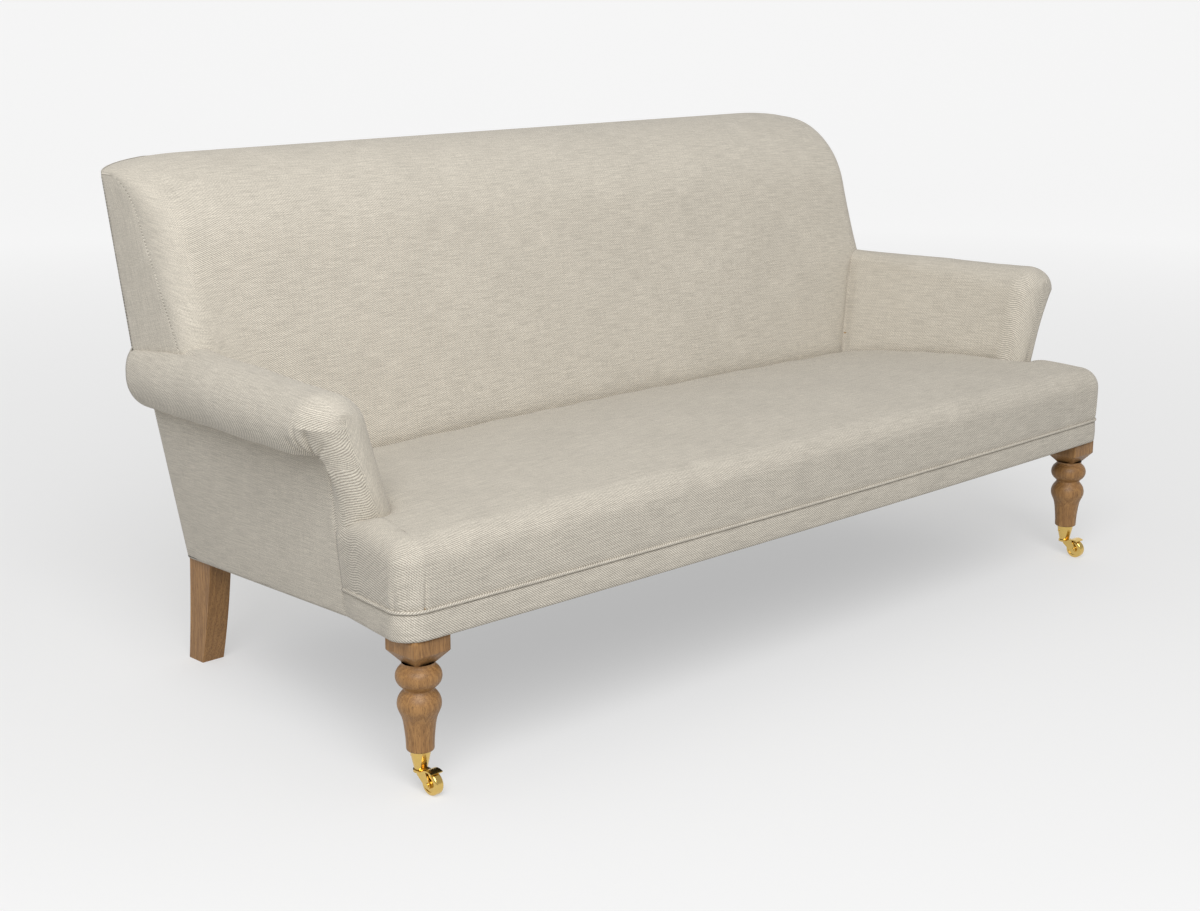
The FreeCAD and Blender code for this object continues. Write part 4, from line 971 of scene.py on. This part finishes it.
def linen(name, turn=0.0, mirror=1.0, shade=1.0):
    """Coarse oatmeal weave with a fine diagonal rib and uneven threads along its width. A shade above 1
    paints the whole cloth lighter, as painted light, and one below 1 paints it darker, as painted shade.
    """
    m, tree, shader = material(name)
    coords = add(tree, "ShaderNodeUVMap", uv_map="weave")
    place = scaled_place(tree, coords.outputs[0], (mirror, 1, 1), turn)
    split = add(tree, "ShaderNodeSeparateXYZ")
    tree.links.new(place, split.inputs[0])
    u, v = split.outputs[0], split.outputs[1]
    bend = times(tree, noise_field(tree, place, 90.0, 2.0), 0.0026)
    rib = wave(tree, plus(tree, plus(tree, times(tree, u, 0.8), v), bend), 0.0041)
    thread = wave(tree, plus(tree, v, bend), 0.0021)
    cross = wave(tree, u, 0.0024)
    weave = plus(tree, times(tree, rib, 0.34), times(tree, plus(tree, thread, cross), 0.1))
    weave = plus(tree, weave, 0.5, clamp=True)

    slub = noise_field(tree, scaled_place(tree, place, (22.0, 420.0, 1)), 1.0, 4.0, Roughness=0.6)
    slub_across = noise_field(tree, scaled_place(tree, place, (420.0, 30.0, 1)), 1.0, 3.0, Roughness=0.6)
    speck = noise_field(tree, place, 520.0, 2.0)
    cloud = noise_field(tree, place, 7.0, 3.0)
    tone = plus(tree, weave, times(tree, math_node(tree, "SUBTRACT", speck, 0.5), 0.9))
    light = srgb((228, 221, 207), shade)
    dark = srgb((130, 122, 110), shade)
    base = colour_mix(tree, plus(tree, tone, 0.1, clamp=True), dark, light)
    line = map_range(tree, slub, (0.36, 0.6), (0.86, 1.05))
    line_across = map_range(tree, slub_across, (0.34, 0.62), (0.93, 1.03))
    broad = map_range(tree, cloud, (0.3, 0.7), (0.965, 1.03))
    factor = times(tree, line, times(tree, line_across, broad))
    grey = add(tree, "ShaderNodeCombineColor")
    for socket in grey.inputs[:3]:
        tree.links.new(factor, socket)
    final = colour_mix(tree, 1.0, base, grey.outputs[0], "MULTIPLY")
    tree.links.new(final, shader.inputs["Base Color"])
    shader.inputs["Roughness"].default_value = 0.92
    shader.inputs["Specular IOR Level"].default_value = 0.18
    shader.inputs["Sheen Weight"].default_value = 0.12
    shader.inputs["Sheen Roughness"].default_value = 0.5
    bump_from(tree, shader, plus(tree, weave, times(tree, speck, 0.6)), 0.35, 0.0006)
    return m


def oak(name, light=(174, 130, 78), dark=(128, 90, 50), rough=0.5):
    """Oiled oak with its grain running up the leg."""
    m, tree, shader = material(name)
    place = scaled_place(tree, object_place(tree), (1.0, 1.0, 0.06))
    warp = noise_field(tree, place, 34.0, 3.0, Distortion=0.6)
    grain = add(tree, "ShaderNodeTexWave", wave_type="BANDS", bands_direction="DIAGONAL")
    for key, value in {"Scale": 55.0, "Distortion": 9.0, "Detail": 3.0, "Detail Scale": 1.6}.items():
        grain.inputs[key].default_value = value
    tree.links.new(place, grain.inputs["Vector"])
    pore = map_range(tree, noise_field(tree, place, 900.0, 3.0, Roughness=0.7), (0.3, 0.52))
    tone = plus(tree, times(tree, grain.outputs[0], 0.42), times(tree, warp, 0.75), clamp=True)
    base = colour_mix(tree, tone, srgb(dark), srgb(light))
    final = colour_mix(tree, math_node(tree, "SUBTRACT", 1.0, pore), base, srgb(dark, 0.62))
    tree.links.new(final, shader.inputs["Base Color"])
    rough_range = map_range(tree, pore, given=(rough + 0.12, rough - 0.06))
    tree.links.new(rough_range, shader.inputs["Roughness"])
    bump_from(tree, shader, pore, 0.25, 0.0004)
    return m


def metal(name, colour, rough):
    """Polished metal with faint smears."""
    m, tree, shader = material(name)
    smear = noise_field(tree, object_place(tree), 130.0, 4.0)
    tone = colour_mix(tree, smear, srgb(colour, 0.86), srgb(colour))
    tree.links.new(tone, shader.inputs["Base Color"])
    shader.inputs["Metallic"].default_value = 1.0
    tree.links.new(map_range(tree, smear, given=(rough, rough + 0.12)), shader.inputs["Roughness"])
    bump_from(tree, shader, smear, 0.05, 0.0002)
    return m


def cloth_plain(name, light, dark, pitch):
    """Coarse plain cloth for hidden layers, woven along the frame's own axes."""
    m, tree, shader = material(name)
    place = object_place(tree)
    split = add(tree, "ShaderNodeSeparateXYZ")
    tree.links.new(place, split.inputs[0])
    x_wave, y_wave, z_wave = [wave(tree, axis, pitch) for axis in split.outputs]
    weave = plus(tree, plus(tree, x_wave, y_wave), z_wave)
    speck = noise_field(tree, place, 300.0, 3.0)
    tone = plus(tree, times(tree, weave, 0.14), speck, clamp=True)
    tree.links.new(colour_mix(tree, tone, srgb(dark), srgb(light)), shader.inputs["Base Color"])
    shader.inputs["Roughness"].default_value = 0.95
    bump_from(tree, shader, tone, 0.4, 0.0005)
    return m


quarter_turn = math.radians(90)
# Painted shade and painted light: the seat and front cloth are made 4% darker and the back cloth 5% lighter
# than the same linen on the arms and sides, for how the light falls on them; the back's lighter copy also
# covers the rear and the part's woven cover
linen_seat = linen("linen_seat", 0.0, -1.0, 0.96)
linen_front = linen("linen_front", 0.0, -1.0, 0.96)
linen_back = linen("linen_back", quarter_turn, -1.0, 1.05)
linen_arm = {
    "right": linen("linen_arm_right", quarter_turn, 1.0),
    "left": linen("linen_arm_left", quarter_turn, -1.0),
}
linen_side = linen("linen_side", quarter_turn)
oak_leg = oak("oak_leg")
rail_wood = oak("rail_wood", (200, 168, 122), (168, 134, 92), 0.7)
brass = metal("brass_polished", (230, 196, 116), 0.16)
steel = metal("steel_plain", (150, 150, 152), 0.35)
jute = cloth_plain("jute_web", (186, 160, 120), (140, 114, 80), 0.0026)
cambric = cloth_plain("cambric_black", (44, 44, 46), (24, 24, 26), 0.0012)
wadding = cloth_plain("wadding_white", (236, 232, 222), (214, 208, 196), 0.006)


# Pieces of the scene's own

def place_piece(name, made, mat, nodes, mirrored=False):
    """Mesh a piece from its patches and caps, and say which nodes of the part it replaces."""
    patches, caps = made
    if mirrored:
        patches = [(mirror_grid(p), uv) for p, uv in patches]
        caps = [mirror_grid(ring) for ring in caps]
    obj = mesh_from(name, patches, caps)
    obj.data.materials.append(mat)
    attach(obj, "sofa")
    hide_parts(*nodes)


place_piece("seat_cushion", seat_patches(), linen_seat, ("seat_cover", "seat_pad"))
place_piece("front_band", border_patches(), linen_front, ("front_border",))
place_piece("edge_piping", piping_patches(), linen_front, ("seat_piping",))
place_piece("back_cushion", back_patches(), linen_back, ("inside_back_cover", "back_pad"))
place_piece("rear_cloth", rear_patches(), linen_back, ("outside_back_cover",))

right_arm = arm_patches()
right_panel = panel_patches()
right_back_end = back_side_patches()
for side, way in (("right", 1.0), ("left", -1.0)):
    mirrored = side == "left"
    place_piece(side + "_arm", right_arm, linen_arm[side], (side + "_arm_cover", side + "_arm_pad"),
                mirrored=mirrored)
    place_piece(side + "_arm_panel", right_panel, linen_side, (side + "_outside_arm_cover",),
                mirrored=mirrored)
    place_piece(side + "_back_end", right_back_end, linen_side, (side + "_back_side_cover",),
                mirrored=mirrored)
    place_piece(side + "_turned_leg", leg_patches(way * leg_x, leg_y), oak_leg, (side + "_front_leg",))

# Materials of the part's own solids
slot_material = {
    "woven_cover": linen_back, "webbing_cloth": jute, "padding": wadding, "oak": oak_leg,
    "frame_wood": rail_wood, "brass": brass, "steel": steel,
}
for entry in frame["record"]["subparts"]:
    node = frame["nodes"][entry["node"]]
    chosen = cambric if entry["node"] == "dust_cover" else slot_material[entry["material_slot"]]
    if not node.material_slots:
        node.data.materials.append(chosen)
    for place in node.material_slots:
        place.material = chosen

# Camera at the photograph's viewing angle, in metres and degrees
camera_place = (-2.5549, -2.5056, 1.1900)
camera_heading = 44.088
camera_pitch = 13.9617
camera_data = bpy.data.cameras.new("camera")
camera = bpy.data.objects.new("camera", camera_data)
bpy.context.scene.collection.objects.link(camera)
camera_data.sensor_fit = "HORIZONTAL"
camera_data.sensor_width = 36.0
camera_data.lens = 57.136
camera.location = camera_place
camera.rotation_euler = (math.radians(90.0 - camera_pitch), 0.0, -math.radians(camera_heading))
bpy.context.scene.camera = camera


# Studio, in metres

def studio():
    """Floor that curves up into the backdrop, square to the camera."""
    near, far = -9.0, 7.0
    bend = 3.0
    wall_top = 12.0
    half_width = 14.0
    turn = -math.radians(camera_heading)
    outline = [(d, 0.0) for d in np.linspace(near, far, 40)]
    for a in np.linspace(0, math.pi / 2, 16)[1:]:
        outline.append((far + bend * math.sin(a), bend - bend * math.cos(a)))
    outline.append((far + bend, wall_top))
    rows = []
    for d, z in outline:
        rows.append([(w * math.cos(turn) - d * math.sin(turn), w * math.sin(turn) + d * math.cos(turn), z)
                     for w in np.linspace(-half_width, half_width, 8)])
    return mesh_from("floor", with_uvs(np.array(rows) / MM))


def pale_floor():
    """Pale floor that takes a shadow and has a painted glow that grows with its distance: full towards the
    camera and in reflections, and 0.4 of it on all other rays, so that it also lights the sofa from below.
    """
    m, tree, shader = material("floor_pale")
    shader.inputs["Base Color"].default_value = (0.42, 0.42, 0.42, 1.0)
    shader.inputs["Roughness"].default_value = 0.9
    shader.inputs["Specular IOR Level"].default_value = 0.1
    light_path = add(tree, "ShaderNodeLightPath")
    glow = add(tree, "ShaderNodeEmission")
    glow.inputs["Color"].default_value = (1.0, 1.0, 1.0, 1.0)
    rays = (light_path.outputs["Is Camera Ray"], light_path.outputs["Is Glossy Ray"])
    seen = math_node(tree, "MAXIMUM", *rays)
    geometry = add(tree, "ShaderNodeNewGeometry")
    distance = add(tree, "ShaderNodeVectorMath", operation="LENGTH")
    tree.links.new(geometry.outputs["Position"], distance.inputs[0])
    glow_by_distance = map_range(tree, distance.outputs["Value"], (1.3, 6.0), (0.44, 0.66))
    # Painted light: 0.4 of the glow also reaches diffuse rays, so the floor lights the sofa from below
    # though it is no lamp
    share = math_node(tree, "MAXIMUM", seen, 0.4)
    tree.links.new(times(tree, share, glow_by_distance), glow.inputs["Strength"])
    both = add(tree, "ShaderNodeAddShader")
    tree.links.new(shader.outputs[0], both.inputs[0])
    tree.links.new(glow.outputs[0], both.inputs[1])
    tree.links.new(both.outputs[0], tree.nodes["Material Output"].inputs["Surface"])
    return m


floor = studio()
floor.data.materials.append(pale_floor())


def area_light(name, place, target, size, power):
    """Round soft light at a place, aimed at a target."""
    data = bpy.data.lights.new(name, "AREA")
    data.shape = "DISK"
    data.size = size
    data.energy = power
    lamp = bpy.data.objects.new(name, data)
    lamp.location = place
    way = Vector(target) - Vector(place)
    lamp.rotation_euler = way.to_track_quat("-Z", "Y").to_euler()
    bpy.context.scene.collection.objects.link(lamp)


area_light("key", (-3.1, -3.3, 4.4), (0.0, 0.0, 0.5), 4.5, 285.0)

world = bpy.data.worlds.new("world")
bpy.context.scene.world = world
world.use_nodes = True
background = world.node_tree.nodes["Background"]
background.inputs["Color"].default_value = (1.0, 1.0, 1.0, 1.0)
background.inputs["Strength"].default_value = 0.5

bpy.context.scene.view_settings.view_transform = "Standard"
